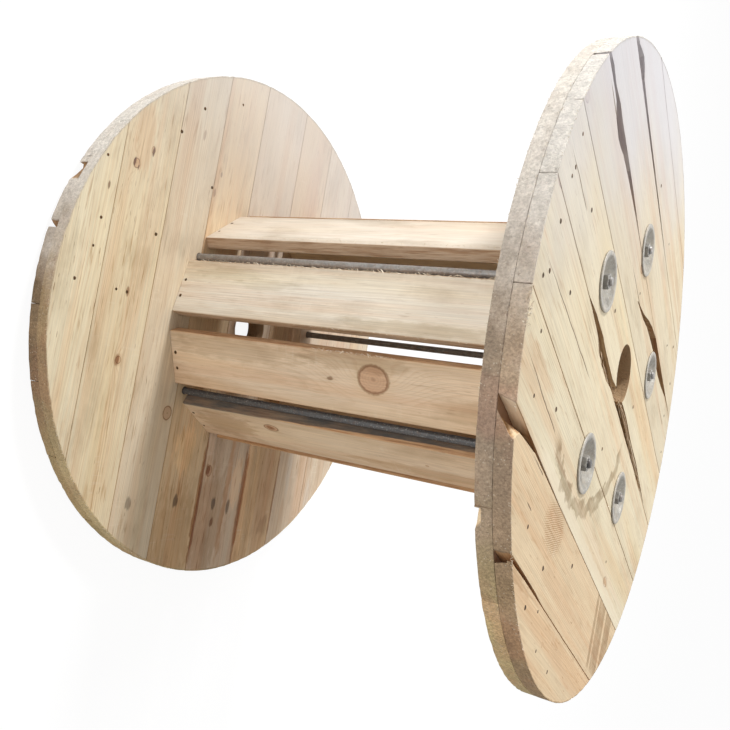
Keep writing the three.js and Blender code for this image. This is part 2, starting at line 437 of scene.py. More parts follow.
def grained(tree, place, stretch, detail=2.0, roughness=0.5):
    """Noise from 0 to 1, with its own scale along, across and down the grain."""
    return cloud(tree, vectors(tree, "MULTIPLY", place, stretch), 1.0, detail, roughness)


def attribute(tree, name, part="Fac"):
    """What is written at the mesh's points under a name."""
    return put(tree, "ShaderNodeAttribute", {}, attribute_name=name).outputs[part]


def recipe(name, places, results, **values):
    """A shader node group and its two end nodes. It takes some vectors, and values and colours that
    have defaults. Of what it puts out, Colour is a colour, and the rest are values."""
    tree = bpy.data.node_groups.new(name, "ShaderNodeTree")
    for socket in places:
        tree.interface.new_socket(socket, in_out="INPUT", socket_type="NodeSocketVector")
    for socket, value in values.items():
        colour = isinstance(value, tuple)
        made = tree.interface.new_socket(
            socket, in_out="INPUT", socket_type="NodeSocketColor" if colour else "NodeSocketFloat")
        made.default_value = (*value, 1) if colour else value
    for socket in results:
        kind = "NodeSocketColor" if socket == "Colour" else "NodeSocketFloat"
        tree.interface.new_socket(socket, in_out="OUTPUT", socket_type=kind)
    return tree, tree.nodes.new("NodeGroupInput").outputs, tree.nodes.new("NodeGroupOutput").inputs


def give(tree, made, **results):
    """Links each result to the recipe's output of that name, and hands back the recipe."""
    for name, result in results.items():
        tree.links.new(result, made[name])
    return tree


def use(tree, group, **values):
    """A recipe's outputs in another tree, with its own values."""
    made = put(tree, "ShaderNodeGroup", {}, node_tree=group)
    feed(tree, made, values)
    return made.outputs


def annual_rings():
    """The log's rings, cut by the board: pale spring wood and the darker line that ends each year."""
    tree, given, made = recipe(
        "annual_rings", ("Grain", "Log"), ("Late", "Fibre", "Streak"),
        Push=0.0, Taper=0.012, Wander=0.02)
    grain = given["Grain"]
    pith_across, pith_down, one_year = parts_of(tree, given["Log"])
    along, across, down = parts_of(tree, grain)
    sway = times(tree, about_zero(tree, grained(tree, grain, (1.3, 4.0, 4.0))), given["Wander"])
    across = plus(tree, less(tree, across, pith_across), sway)
    radius = length(tree, joined(tree, 0.0, across, less(tree, down, pith_down)))
    ripple = about_zero(tree, grained(tree, grain, (9.0, 60.0, 60.0), 3.0))
    radius = plus_times(tree, radius, ripple, 2.2 * MM)
    radius = plus_times(tree, radius, along, given["Taper"])
    radius = plus(tree, radius, given["Push"])
    years = over(tree, radius, one_year)
    uneven = put(tree, "ShaderNodeTexNoise",
                 {"W": times(tree, years, 0.31), "Scale": 1.0, "Detail": 1.0},
                 noise_dimensions="1D").outputs["Fac"]
    part = maths(tree, "FRACT", plus_times(tree, years, uneven, 1.6))
    rise = maths(tree, "POWER", eased(tree, part, 0.35, 0.86), 1.6)
    return give(tree, made,
                Late=times(tree, rise, eased(tree, part, 0.9, 0.99, 1.0, 0.0)),
                Fibre=grained(tree, grain, (6.0, 420.0, 420.0), 3.0, 0.65),
                Streak=grained(tree, grain, (0.9, 26.0, 26.0), 3.0, 0.55))


def round_branch(tree, along, across, radius):
    """How many of its radii a place lies from a branch's heart, and how far it pushes the rings."""
    ratio = over(tree, length(tree, joined(tree, along, across)), radius)
    drawn_out = joined(tree, times(tree, along, 0.42), across)
    far = over(tree, length(tree, drawn_out), radius)
    swell = maths(tree, "EXPONENT", times(tree, maths(tree, "POWER", far, 2.0), -0.55))
    return ratio, times(tree, swell, radius)


def one_knot():
    """A branch's round section at a stated place, on top of the knots that are already there."""
    tree, given, made = recipe(
        "one_knot", ("Grain", "Place"), ("Nearest", "Push"),
        Radius=0.01, Long=1.0, Nearest=NO_KNOT, Push=0.0)
    along, across, _ = parts_of(tree, vectors(tree, "SUBTRACT", given["Grain"], given["Place"]))
    along = over(tree, along, given["Long"])
    ratio, swell = round_branch(tree, along, across, given["Radius"])
    return give(tree, made,
                Nearest=maths(tree, "MINIMUM", ratio, given["Nearest"]),
                Push=plus(tree, times(tree, swell, 1.1), given["Push"]))


def stray_knots():
    """Small knots at random down the log, about one in each stretch of the given size."""
    tree, given, made = recipe(
        "stray_knots", ("Grain",), ("Nearest", "Push"),
        Stretch=0.33, Width=0.12, Chance=0.5, Largest=0.0095)
    cell_size = joined(tree, given["Stretch"], given["Width"], 10.0)
    cells = vectors(tree, "DIVIDE", given["Grain"], cell_size)
    flat = vectors(tree, "MULTIPLY", cells, (1, 1, 0))
    cell = put(tree, "ShaderNodeTexVoronoi", {"Vector": flat, "Scale": 1.0, "Randomness": 0.8},
               voronoi_dimensions="2D", feature="F1").outputs
    offset = vectors(tree, "MULTIPLY", vectors(tree, "SUBTRACT", flat, cell["Position"]), cell_size)
    along, across, _ = parts_of(tree, offset)
    drawn = put(tree, "ShaderNodeSeparateColor", {0: cell["Color"]}).outputs
    there = maths(tree, "LESS_THAN", drawn[0], given["Chance"])
    radius = times(tree, given["Largest"], eased(tree, drawn[1], 0.0, 1.0, 0.28, 1.0))
    along = over(tree, along, plus_times(tree, 1.0, drawn[2], 0.9))
    ratio, swell = round_branch(tree, along, across, radius)
    absent = times(tree, less(tree, 1.0, there), NO_KNOT)
    return give(tree, made, Nearest=plus(tree, ratio, absent), Push=times(tree, swell, there))


def drying_crack():
    """A crack that follows the grain from one place to another, keeping the deepest one."""
    tree, given, made = recipe(
        "drying_crack", ("Grain",), ("Deepest",),
        Across=0.0, From=0.0, To=1.0, Width=0.0012, Slant=0.0, Deepest=0.0)
    along, across, _ = parts_of(tree, given["Grain"])
    wander = about_zero(tree, grained(tree, given["Grain"], (14.0, 2.0, 2.0), 3.0))
    line = plus_times(tree, given["Across"], wander, 7 * MM)
    ahead = less(tree, along, given["From"])
    line = plus_times(tree, line, ahead, given["Slant"])
    aside = unsigned(tree, less(tree, across, line))
    share = over(tree, ahead, less(tree, given["To"], given["From"]))
    ends = times(tree, eased(tree, share, -0.01, 0.12), eased(tree, share, 0.5, 1.0, 1.0, 0.0))
    width = times(tree, given["Width"], maths(tree, "MAXIMUM", ends, 0.001))
    deep = times(tree, eased(tree, over(tree, aside, width), 0.4, 1.1, 1.0, 0.0),
                 eased(tree, ends, 0.0, 0.08))
    return give(tree, made, Deepest=maths(tree, "MAXIMUM", deep, given["Deepest"]))


def stain():
    """A soft, ragged blotch at a stated place, longer along the grain. It puts out how much there is."""
    tree, given, made = recipe(
        "stain", ("Grain", "Place"), ("Cover",),
        Long=0.05, Wide=0.02, Ragged=1.5)
    along, across, _ = parts_of(tree, vectors(tree, "SUBTRACT", given["Grain"], given["Place"]))
    flat = joined(tree, over(tree, along, given["Long"]), over(tree, across, given["Wide"]))
    ragged = about_zero(tree, grained(tree, given["Grain"], (26.0, 90.0, 90.0), 4.0, 0.6))
    reach = plus_times(tree, length(tree, flat), ragged, given["Ragged"])
    return give(tree, made, Cover=eased(tree, reach, 0.55, 1.05, 1.0, 0.0))


def handling():
    """What handling and the elements leave on a board: dark flecks in the grain, smudges and pale
    scuffs.
    """
    tree, given, made = recipe(
        "handling", ("Grain",), ("Colour",),
        Wood=(1, 1, 1), Flecks=0.5, Smudges=0.5, Scuffs=0.12)
    grain, flecks = given["Grain"], given["Flecks"]
    fleck = eased(tree, grained(tree, grain, (34.0, 330.0, 330.0), 1.0), 0.69, 0.77)
    patch = eased(tree, grained(tree, grain, (3.0, 14.0, 14.0)), 0.42, 0.6)
    colour = tinted(tree, times(tree, fleck, patch, flecks), given["Wood"], (0.50, 0.38, 0.29))
    elsewhere = vectors(tree, "ADD", grain, (0.37, 0.5, 0.1))
    streak = eased(tree, grained(tree, elsewhere, (15.0, 170.0, 170.0), 2.0, 0.55), 0.55, 0.72)
    worst = eased(tree, grained(tree, grain, (1.8, 10.0, 10.0), 3.0, 0.6), 0.40, 0.62, 0.25, 1.0)
    colour = tinted(tree, times(tree, streak, worst, flecks), colour, (0.72, 0.59, 0.48))
    smudge = eased(tree, grained(tree, grain, (5.0, 13.0, 13.0), 5.0, 0.62), 0.48, 0.72)
    colour = tinted(tree, times(tree, smudge, given["Smudges"]), colour, (0.72, 0.68, 0.63))
    slanting = put(tree, "ShaderNodeVectorRotate",
                   {"Vector": vectors(tree, "MULTIPLY", grain, (150.0, 22.0, 40.0)), "Angle": 0.5},
                   rotation_type="Z_AXIS").outputs[0]
    scuff = eased(tree, cloud(tree, slanting, 1.0, 1.0), 0.6, 0.68)
    where = eased(tree, grained(tree, grain, (7.0, 12.0, 12.0)), 0.56, 0.66)
    colour = mixed(tree, times(tree, scuff, where, given["Scuffs"]), colour, (0.86, 0.78, 0.66))
    return give(tree, made, Colour=colour)


def knot_wood():
    """The knot's own wood: a dark ring of bark at its edge, redder wood inside, and its fine rings."""
    tree, given, made = recipe(
        "knot_wood", ("Grain",), ("Colour", "Height"),
        Wood=(1, 1, 1), Nearest=NO_KNOT, Redness=(0.84, 0.70, 0.62), Bark=(0.24, 0.12, 0.06))
    wobble = about_zero(tree, grained(tree, given["Grain"], (120.0, 120.0, 40.0)))
    near = plus_times(tree, given["Nearest"], wobble, 0.22)
    heartwood = eased(tree, near, 0.93, 1.0, 1.0, 0.0)
    fine = maths(tree, "SINE", times(tree, near, 34.0))
    red = mixed(tree, 1.0, given["Wood"], given["Redness"], "MULTIPLY")
    red = dimmed(tree, plus_times(tree, 0.97, fine, 0.035), red)
    colour = mixed(tree, heartwood, given["Wood"], red)
    colour = mixed(tree, eased(tree, near, 0.0, 0.2, 0.5, 0.0), colour, given["Bark"])
    bark = times(tree, eased(tree, near, 0.82, 0.94), eased(tree, near, 1.0, 1.14, 1.0, 0.0))
    colour = mixed(tree, times(tree, bark, 0.82), colour, given["Bark"])
    halo = times(tree, eased(tree, near, 1.05, 1.9, 1.0, 0.0), less(tree, 1.0, heartwood))
    colour = mixed(tree, times(tree, halo, 0.22), colour, (0.62, 0.43, 0.24))
    return give(tree, made, Colour=colour, Height=less(tree, heartwood, times(tree, bark, 2.0)))


def saw_marks():
    """The close, slightly slanting ridges that a band saw leaves across a board, in patches."""
    tree, given, made = recipe(
        "saw_marks", ("Grain",), ("Ridge",),
        Pitch=0.0065, Slant=0.12, Cover=0.5)
    along, across, _ = parts_of(tree, given["Grain"])
    shaken = about_zero(tree, grained(tree, given["Grain"], (30.0, 12.0, 12.0)))
    run = plus_times(tree, along, across, given["Slant"])
    run = plus_times(tree, run, shaken, 9 * MM)
    wave = maths(tree, "SINE", over(tree, times(tree, run, math.tau), given["Pitch"]))
    low = less(tree, 1.0, given["Cover"])
    patch = grained(tree, given["Grain"], (3.2, 9.0, 9.0))
    patch = eased(tree, patch, low, plus(tree, low, 0.16))
    return give(tree, made, Ridge=times(tree, wave, patch))


def round_rim():
    """The rim and the spindle's bore, where the saw went round: rough end grain with the teeth's marks,
    dark with dirt, paler towards -x as bleaching and a painted highlight, and darker towards +y as
    painted shade."""
    tree, given, made = recipe(
        "round_rim", ("Position",), ("Colour", "Height", "Rough"),
        Wood=(1, 1, 1), Dirt=(0.34, 0.28, 0.21), Foot=(0.40, 0.33, 0.22),
        Bleach=(0.77, 0.725, 0.655), Bore=(0.42, 0.28, 0.16), Shade=1.0)
    place = given["Position"]
    x, y, z = parts_of(tree, place)
    radius = length(tree, joined(tree, x, y))
    uneven = about_zero(tree, cloud(tree, place, 55.0, 4.0, 0.6))
    rim = eased(tree, plus_times(tree, radius, uneven, 6 * MM),
                FLANGE_RADIUS - 4.8 * MM, FLANGE_RADIUS - 1.2 * MM)
    bore = eased(tree, radius, BORE_RADIUS + 1.2 * MM, BORE_RADIUS + 0.6 * MM)

    patch = cloud(tree, place, 15.0, 4.0, 0.6)
    fibre = grained(tree, place, (290.0, 290.0, 230.0), 4.0, 0.7)
    clump = grained(tree, place, (105.0, 105.0, 120.0), 5.0, 0.68)
    pit = eased(tree, cloud(tree, place, 170.0, 3.0, 0.7), 0.6, 0.72)
    speck = put(tree, "ShaderNodeTexVoronoi", {"Vector": place, "Scale": 190.0}).outputs["Distance"]
    speck = times(tree, eased(tree, speck, 0.10, 0.26, 1.0, 0.0),
                  eased(tree, cloud(tree, place, 34.0, 3.0, 0.6), 0.44, 0.56))
    slant = plus_times(tree, times(tree, maths(tree, "ARCTAN2", y, x), FLANGE_RADIUS), z, 0.45)
    slant = plus_times(tree, slant, cloud(tree, place, 25.0, 2.0, 0.6), 6 * MM)
    teeth = maths(tree, "SINE", times(tree, slant, math.tau / SAW_TOOTH))
    teeth = times(tree, teeth, eased(tree, cloud(tree, place, 11.0, 2.0, 0.6), 0.47, 0.6))

    up = plus_times(tree, times(tree, x, -1.0), about_zero(tree, patch), 0.35)
    dirt = mixed(tree, eased(tree, up, 0.0, -0.3), given["Dirt"], given["Foot"])
    dirt = dimmed(tree, given["Shade"], dirt)
    dirt = dimmed(tree, eased(tree, fibre, 0.3, 0.7, 0.70, 1.22), dirt)
    dirt = dimmed(tree, eased(tree, patch, 0.3, 0.7, 0.80, 1.18), dirt)
    dirt = dimmed(tree, plus_times(tree, 1.0, teeth, 0.04), dirt)
    elsewhere = vectors(tree, "ADD", place, (3, 1, 2))
    purple = times(tree, eased(tree, cloud(tree, elsewhere, 7.0, 3.0, 0.6), 0.5, 0.62), 0.6)
    dirt = tinted(tree, purple, dirt, (0.98, 0.80, 0.82))
    dirt = mixed(tree, times(tree, speck, 0.7), dirt, (0.62, 0.54, 0.43))

    # Painted highlight and bleaching: the pale end grain takes over towards -x. Painted shade: it is
    # dimmed towards +y, where the key lamp lights the rim most.
    pale = dimmed(tree, eased(tree, fibre, 0.3, 0.7, 0.80, 1.10), given["Bleach"])
    pale = dimmed(tree, eased(tree, clump, 0.38, 0.64, 0.82, 1.04), pale)
    pale = dimmed(tree, eased(tree, y, -0.16, 0.20, 1.0, 0.74), pale)
    colour = mixed(tree, eased(tree, up, 0.12, 0.4), dirt, pale)
    colour = tinted(tree, times(tree, pit, 0.55), colour, (0.52, 0.45, 0.40))
    cover = times(tree, rim, eased(tree, patch, 0.3, 0.65, 0.97, 0.8))
    colour = mixed(tree, cover, given["Wood"], colour)
    colour = mixed(tree, times(tree, bore, 0.8), colour, given["Bore"])

    height = plus_times(tree, fibre, pit, -0.6)
    height = plus_times(tree, height, teeth, 0.12)
    height = plus_times(tree, height, clump, 0.9)
    return give(tree, made, Colour=colour, Height=times(tree, height, rim),
                Rough=maths(tree, "MAXIMUM", rim, bore))


RINGS = annual_rings()
KNOT = one_knot()
STRAY = stray_knots()
CRACK = drying_crack()
KNOT_WOOD = knot_wood()
SAW = saw_marks()
RIM = round_rim()
STAIN = stain()
HANDLING = handling()


def board_number(layer, i):
    """A number of its own for each board, so that no two boards share a stretch of the log."""
    return i + sum(map(ord, layer)) % 40


def board_start(layer, i):
    """How far along the log a board's middle lies."""
    return BOARD_RANGE * board_number(layer, i)


def on_board(layer, i, along_mm, across_mm):
    """A place on a board in the log, from its distances in millimetres from the board's middle."""
    return board_start(layer, i) + along_mm * MM, across_mm * MM


def blank_material(name):
    """A new material, its tree and its main shader."""
    material = bpy.data.materials.new(name)
    material.use_nodes = True
    return material, material.node_tree, material.node_tree.nodes["Principled BSDF"]


def coat(tree, shader, colour, height, strength, depth):
    """Gives a shader its colour and its bumps."""
    tree.links.new(colour, shader.inputs["Base Color"])
    bump = put(tree, "ShaderNodeBump", {"Strength": strength, "Distance": depth, "Height": height})
    tree.links.new(bump.outputs["Normal"], shader.inputs["Normal"])


def timber(name, knots=(), cracks=(), stains=(), line=0.35, blush_share=0.5, grey_share=0.3,
           saw_cover=0.3, stray_chance=0.25, flecks=0.5, smudges=0.5, mottle=0.22, edges=0.4,
           side_wood_and_shade=(0.50, 0.37, 0.27), dirt=(0.34, 0.28, 0.21), foot=(0.40, 0.33, 0.22),
           bleach_and_highlight=(0.77, 0.725, 0.655), marks_and_painted_light=None):
    """Rough-sawn pine, with the knots, cracks and stains that its own boards have."""
    material, tree, shader = blank_material(name)
    grain = attribute(tree, "grain", "Vector")
    tone, half_width = attribute(tree, "tone", "Color"), attribute(tree, "tone", "Alpha")
    position = put(tree, "ShaderNodeTexCoord", {}).outputs["Object"]
    along, across, _ = parts_of(tree, grain)

    stray = use(tree, STRAY, Grain=grain, Chance=stray_chance)
    nearest, push = stray["Nearest"], stray["Push"]
    for start, aside, radius, long in knots:
        knot = use(tree, KNOT, Grain=grain, Place=(start, aside, 0), Radius=radius, Long=long,
                   Nearest=nearest, Push=push)
        nearest, push = knot["Nearest"], knot["Push"]
    rings = use(tree, RINGS, Grain=grain, Log=attribute(tree, "log", "Vector"), Push=push)
    deepest = 0.0
    for aside, start, end, width, slant in cracks:
        deepest = use(tree, CRACK, Grain=grain, Across=aside, From=start, To=end, Width=width,
                      Slant=slant, Deepest=deepest)["Deepest"]
    ridge = use(tree, SAW, Grain=grain, Cover=saw_cover)["Ridge"]

    clear = eased(tree, grained(tree, grain, (1.6, 16.0, 16.0)), 0.34, 0.64, 0.25, 1.0)
    colour = tinted(tree, times(tree, rings["Late"], line, clear), tone, (0.74, 0.58, 0.44))
    cloudy = eased(tree, grained(tree, grain, (4.5, 20.0, 20.0), 5.0, 0.62), 0.42, 0.66)
    colour = tinted(tree, times(tree, cloudy, mottle), colour, (0.82, 0.72, 0.62))
    golden = grained(tree, vectors(tree, "ADD", grain, (3.3, 0.7, 0.0)), (1.1, 10.0, 10.0), 4.0, 0.6)
    golden = times(tree, eased(tree, golden, 0.46, 0.64), mottle)
    colour = tinted(tree, golden, colour, (1.0, 0.91, 0.76))
    colour = dimmed(tree, eased(tree, rings["Fibre"], 0.25, 0.75, 0.88, 1.06), colour)
    pink = times(tree, eased(tree, rings["Streak"], 0.47, 0.66), blush_share)
    colour = tinted(tree, pink, colour, (0.93, 0.80, 0.72))
    sap = times(tree, eased(tree, grained(tree, grain, (0.7, 11.0, 11.0), 3.0), 0.52, 0.7), 0.6)
    colour = tinted(tree, sap, colour, (1.0, 0.96, 0.86))
    grey = eased(tree, grained(tree, grain, (2.2, 22.0, 22.0), 4.0, 0.6), 0.54, 0.74)
    colour = tinted(tree, times(tree, grey, grey_share), colour, (0.80, 0.80, 0.82))
    colour = dimmed(tree, eased(tree, ridge, -1.0, 1.0, 0.955, 1.03), colour)
    colour = use(tree, HANDLING, Grain=grain, Wood=colour, Flecks=flecks, Smudges=smudges)["Colour"]
    to_edge = less(tree, half_width, unsigned(tree, across))
    edge = times(tree, eased(tree, to_edge, 0.8 * MM, 3 * MM, 1.0, 0.0), edges)
    colour = tinted(tree, edge, colour, (0.74, 0.56, 0.40))
    knotty = use(tree, KNOT_WOOD, Grain=grain, Wood=colour, Nearest=nearest)
    colour = knotty["Colour"]
    for start, aside, long, wide, tint, strength in stains:
        cover = use(tree, STAIN, Grain=grain, Place=(start, aside, 0), Long=long, Wide=wide)["Cover"]
        colour = tinted(tree, times(tree, cover, strength), colour, tint)
    # The boards' side walls in seams, splits and notches are multiplied darker: the side wood's own
    # colour, and painted shade.
    bare = times(tree, eased(tree, attribute(tree, "wall"), 0.15, 0.95),
                 eased(tree, rings["Fibre"], 0.2, 0.8, 1.0, 0.75))
    colour = tinted(tree, bare, colour, side_wood_and_shade)
    shred = eased(tree, grained(tree, grain, (11.0, 230.0, 190.0), 4.0, 0.66), 0.44, 0.64)
    shred = times(tree, shred, bare)
    colour = tinted(tree, shred, colour, (0.70, 0.58, 0.47))
    # Each layer's own marks, and for some layers painted light and shade.
    if marks_and_painted_light:
        colour = marks_and_painted_light(tree, colour, grain, position)
    if cracks:
        colour = mixed(tree, times(tree, deepest, 0.85), colour, (0.16, 0.10, 0.06))
    board = maths(tree, "ROUND", over(tree, along, BOARD_RANGE))
    drawn = put(tree, "ShaderNodeTexWhiteNoise", {"W": board}, noise_dimensions="1D").outputs["Value"]
    rim = use(tree, RIM, Position=position, Wood=colour, Dirt=dirt, Foot=foot, Bleach=bleach_and_highlight,
              Shade=eased(tree, drawn, 0.0, 1.0, 0.84, 1.14))

    rough = plus_times(tree, 0.80, rings["Late"], -0.12)
    tree.links.new(plus_times(tree, rough, rim["Rough"], 0.12), shader.inputs["Roughness"])
    shader.inputs["Specular IOR Level"].default_value = 0.3

    height = times(tree, rings["Fibre"], 0.5)
    for relief, share in ((rings["Late"], 0.3), (ridge, 0.35), (knotty["Height"], 0.25),
                          (rim["Height"], 2.4), (shred, -2.2), (deepest, -2.5)):
        height = plus_times(tree, height, relief, share)
    coat(tree, shader, rim["Colour"], height, 0.55, 0.6 * MM)
    return material


lower_outer_wood = timber("pine_lower_outer_boards", dirt=(0.27, 0.185, 0.105), foot=(0.54, 0.405, 0.20))
lay_layer("lower_outer", LOWER_OUTER_RUN, (straw, cream, honey, straw, tan, cream, straw, honey),
          lower_outer_wood, seed=11)


# The lower flange's inner layer: nine boards laid square across the outer ones. Its face is the
# inside of the drum, so the cable and the dirt have rubbed it less than the rim.
LOWER_INNER_RUN = math.radians(72)


def greyer_side(tree, colour, grain, position):
    """Mixes the colour towards a pale grey on the side of the face towards -x and +y."""
    x, y, _ = parts_of(tree, position)
    up = plus_times(tree, times(tree, x, -0.8), y, 0.6)
    up = plus_times(tree, up, about_zero(tree, cloud(tree, position, 6.0, 4.0)), 0.25)
    return mixed(tree, eased(tree, up, -0.08, 0.60, 0.0, 0.68), colour, (0.56, 0.545, 0.53))


painted_shadow = (0.72, 0.62, 0.52)
soot = (0.36, 0.35, 0.35)
rust = (0.42, 0.28, 0.20)
dark_rust = (0.26, 0.16, 0.11)
russet = (0.88, 0.68, 0.54)
resin = (0.55, 0.36, 0.26)
painted_fill_light = (1.0, 1.06, 1.16)


def lower_board(i, along_mm, across_mm):
    return on_board("lower_inner", i, along_mm, across_mm)


lower_inner_wood = timber(
    "pine_lower_inner_boards",
    knots=[
        (*lower_board(2, 269, -33), 0.009, 1.1),
        (*lower_board(2, 310, 5), 0.005, 1.5),
        (*lower_board(2, -131, 14), 0.007, 1.1),
        (*lower_board(3, -229, 47), 0.013, 1.2),
        (*lower_board(5, -357, -60), 0.009, 1.5),
    ],
    stains=[
        (*lower_board(4, -429, -9), 0.020, 0.010, soot, 1.0),
        (*lower_board(3, -430, -21), 0.018, 0.010, soot, 0.7),
        (*lower_board(5, -355, -65), 0.016, 0.009, rust, 0.9),
        (*lower_board(5, -482, -19), 0.014, 0.007, rust, 0.9),
        (*lower_board(2, -132, 9), 0.016, 0.007, rust, 0.8),
        (*lower_board(2, 271, -39), 0.011, 0.0035, dark_rust, 1.0),
        (*lower_board(2, 262, -27), 0.008, 0.003, dark_rust, 0.7),
        (*lower_board(2, 306, 6), 0.014, 0.0035, dark_rust, 1.0),
        (*lower_board(1, 205, 34), 0.010, 0.0035, dark_rust, 0.8),
        (*lower_board(4, 330, -50), 0.009, 0.004, dark_rust, 0.6),
        (*lower_board(2, 11, 6), 0.012, 0.005, rust, 0.8),
        (*lower_board(3, 396, 8), 0.014, 0.005, rust, 0.6),
        (*lower_board(4, 284, -62), 0.012, 0.005, rust, 0.7),
        (*lower_board(5, -435, -24), 0.018, 0.010, soot, 1.0),
        (*lower_board(5, -447, 33), 0.022, 0.009, soot, 0.9),
        # Painted shadow: these two broad dark patches at the foot of boards 4 and 5 deepen the barrel's
        # shadow there.
        (*lower_board(4, -520, 0), 0.16, 0.09, painted_shadow, 0.6),
        (*lower_board(5, -480, -40), 0.16, 0.09, painted_shadow, 0.6),
        (*lower_board(4, -430, 65), 0.17, 0.007, resin, 0.9),
        (*lower_board(5, -430, -81), 0.17, 0.005, resin, 0.9),
        (*lower_board(5, -430, 79), 0.17, 0.007, resin, 0.9),
        (*lower_board(6, -430, -66), 0.17, 0.005, resin, 0.9),
        (*lower_board(7, -430, -67), 0.14, 0.004, resin, 0.7),
        (*lower_board(6, -505, 44), 0.035, 0.022, (0.55, 0.50, 0.47), 0.5),
        # Painted light: the tints above 1 on boards 4, 5 and 8, and the pale bluish ones on boards 7 and
        # 8, brighten the shade below the barrel.
        (*lower_board(5, -385, 52), 0.08, 0.024, (1.28, 1.20, 1.10), 0.9),
        (*lower_board(4, -310, -6), 0.07, 0.040, (1.25, 1.20, 1.10), 0.9),
        (*lower_board(6, -395, 20), 0.16, 0.050, (0.90, 0.86, 0.86), 0.7),
        (*lower_board(5, -420, 18), 0.18, 0.012, russet, 0.6),
        (*lower_board(7, -340, -12), 0.10, 0.014, painted_fill_light, 0.9),
        (*lower_board(8, -450, -36), 0.09, 0.014, painted_fill_light, 0.9),
        (*lower_board(8, -340, 12), 0.16, 0.055, (1.08, 1.18, 1.26), 0.8),
        (*lower_board(2, 330, -20), 0.10, 0.030, russet, 0.45),
        (*lower_board(6, 330, 10), 0.22, 0.040, russet, 0.45),
    ],
    line=0.40, blush_share=0.6, grey_share=0.15, flecks=0.9, smudges=0.7, mottle=0.25, edges=0.5,
    stray_chance=0.12, marks_and_painted_light=greyer_side,
    dirt=(0.35, 0.245, 0.13), foot=(0.60, 0.47, 0.25),
)
greyed = (0.700, 0.575, 0.440)
faded = (0.765, 0.660, 0.495)
oat = (0.820, 0.720, 0.520)
light_oat = (0.870, 0.785, 0.580)
lay_layer("lower_inner", LOWER_INNER_RUN,
          (light_oat, oat, faded, straw, greyed, tan, greyed, greyed, cream),
          lower_inner_wood, seed=23, swell=0.6 * MM)


# The barrel: ten flat pine staves that stand between the flanges with open gaps, toe-nailed at
# their ends. Each was sawn to its own width.
SHADED_STAVE = 5
STAVE_MIDDLE = 487            # height in millimetres, from which heights on a stave are counted


def on_stave(i, height_mm, across_mm):
    """A place on a stave in the log, from its height above the floor."""
    return BOARD_RANGE * i + (height_mm - STAVE_MIDDLE) * MM, across_mm * MM


def gap_shade_and_grime(tree, colour, grain, position):
    """Oil, dirt and painted shade on the side of the stave below the rod, and smudges along the edges.
    """
    along, across, down = parts_of(tree, grain)
    half = attribute(tree, "tone", "Alpha")
    rough = grained(tree, grain, (9.0, 40.0, 40.0), 5.0, 0.62)
    middle = SHADED_STAVE * BOARD_RANGE
    on_shaded_stave = maths(tree, "LESS_THAN", unsigned(tree, less(tree, along, middle)), 1.0)
    in_gap = plus(tree, across, plus_times(tree, -7 * MM, rough, 10 * MM))
    in_gap = eased(tree, plus(tree, in_gap, half), 1 * MM, 4 * MM, 1.0, 0.0)
    dirt_and_painted_shade = times(tree, times(tree, on_shaded_stave, in_gap), eased(tree, rough, 0.35, 0.68, 0.94, 0.62))
    edge = eased(tree, along, middle - 430 * MM, middle + 430 * MM, -16 * MM, -1 * MM)
    deep = plus(tree, less(tree, down, edge), plus_times(tree, -6 * MM, rough, 12 * MM))
    dirt_and_painted_shade = times(tree, dirt_and_painted_shade, eased(tree, deep, -1 * MM, 2 * MM))
    # Painted shade with oil and dirt: the near-black side of the stave under the rod.
    colour = mixed(tree, dirt_and_painted_shade, colour, (0.055, 0.060, 0.060))
    to_edge = less(tree, half, unsigned(tree, across))
    smear = eased(tree, plus_times(tree, to_edge, rough, -0.05), -20 * MM, 12 * MM, 1.0, 0.0)
    smear = times(tree, smear, less(tree, 1.0, attribute(tree, "wall")))
    return tinted(tree, times(tree, smear, 0.4), colour, (0.72, 0.67, 0.60))


stave_wood = timber(
    "pine_staves",
    knots=[
        (*on_stave(4, 574, -15), 0.0285, 1.15),
        (*on_stave(5, 293, -24), 0.012, 1.5),
    ],
    stains=[
        (*on_stave(3, 187, -35), 0.10, 0.018, (0.78, 0.76, 0.68), 0.5),
        (*on_stave(3, 287, -15), 0.09, 0.014, (0.78, 0.76, 0.68), 0.5),
        (*on_stave(3, 637, 45), 0.20, 0.015, (0.80, 0.76, 0.68), 0.7),
        (*on_stave(4, 237, -35), 0.22, 0.030, (0.76, 0.72, 0.66), 0.7),
        (*on_stave(4, 537, -45), 0.16, 0.022, (0.74, 0.70, 0.64), 0.8),
        (*on_stave(4, 767, 20), 0.10, 0.030, (0.80, 0.75, 0.68), 0.6),
        (*on_stave(5, 157, 0), 0.10, 0.060, (0.70, 0.62, 0.54), 0.8),
        (*on_stave(5, 687, 30), 0.25, 0.020, (0.78, 0.70, 0.60), 0.7),
        (*on_stave(5, 291, -24), 0.014, 0.010, (0.50, 0.36, 0.26), 0.9),
        (*on_stave(4, 477, -6), 0.010, 0.005, (0.42, 0.34, 0.28), 0.9),
    ],
    line=0.22, smudges=0.6, flecks=0.35, mottle=0.25, side_wood_and_shade=(0.84, 0.73, 0.63), marks_and_painted_light=gap_shade_and_grime,
)


def stand_stave(i, tone, pith, ring):
    node = f"stave_{i}"
    low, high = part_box(node)
    points = [vert.co for vert in nodes[node].data.vertices]
    heart = sum(points, Vector()) / len(points)
    out = Vector((heart.x, heart.y, 0)).normalized()
    across = Vector((-out.y, out.x, 0))
    along = Vector((0, 0, 1))
    middle = out * heart.dot(out) + along * (low.z + high.z) / 2
    made = worn_mesh(node, node + "_timber", 1.0 * MM, i * 3.7, across)
    finish_mesh(made, i, (along, across, middle), tone, pith, ring)
    set_board(node, made, stave_wood)


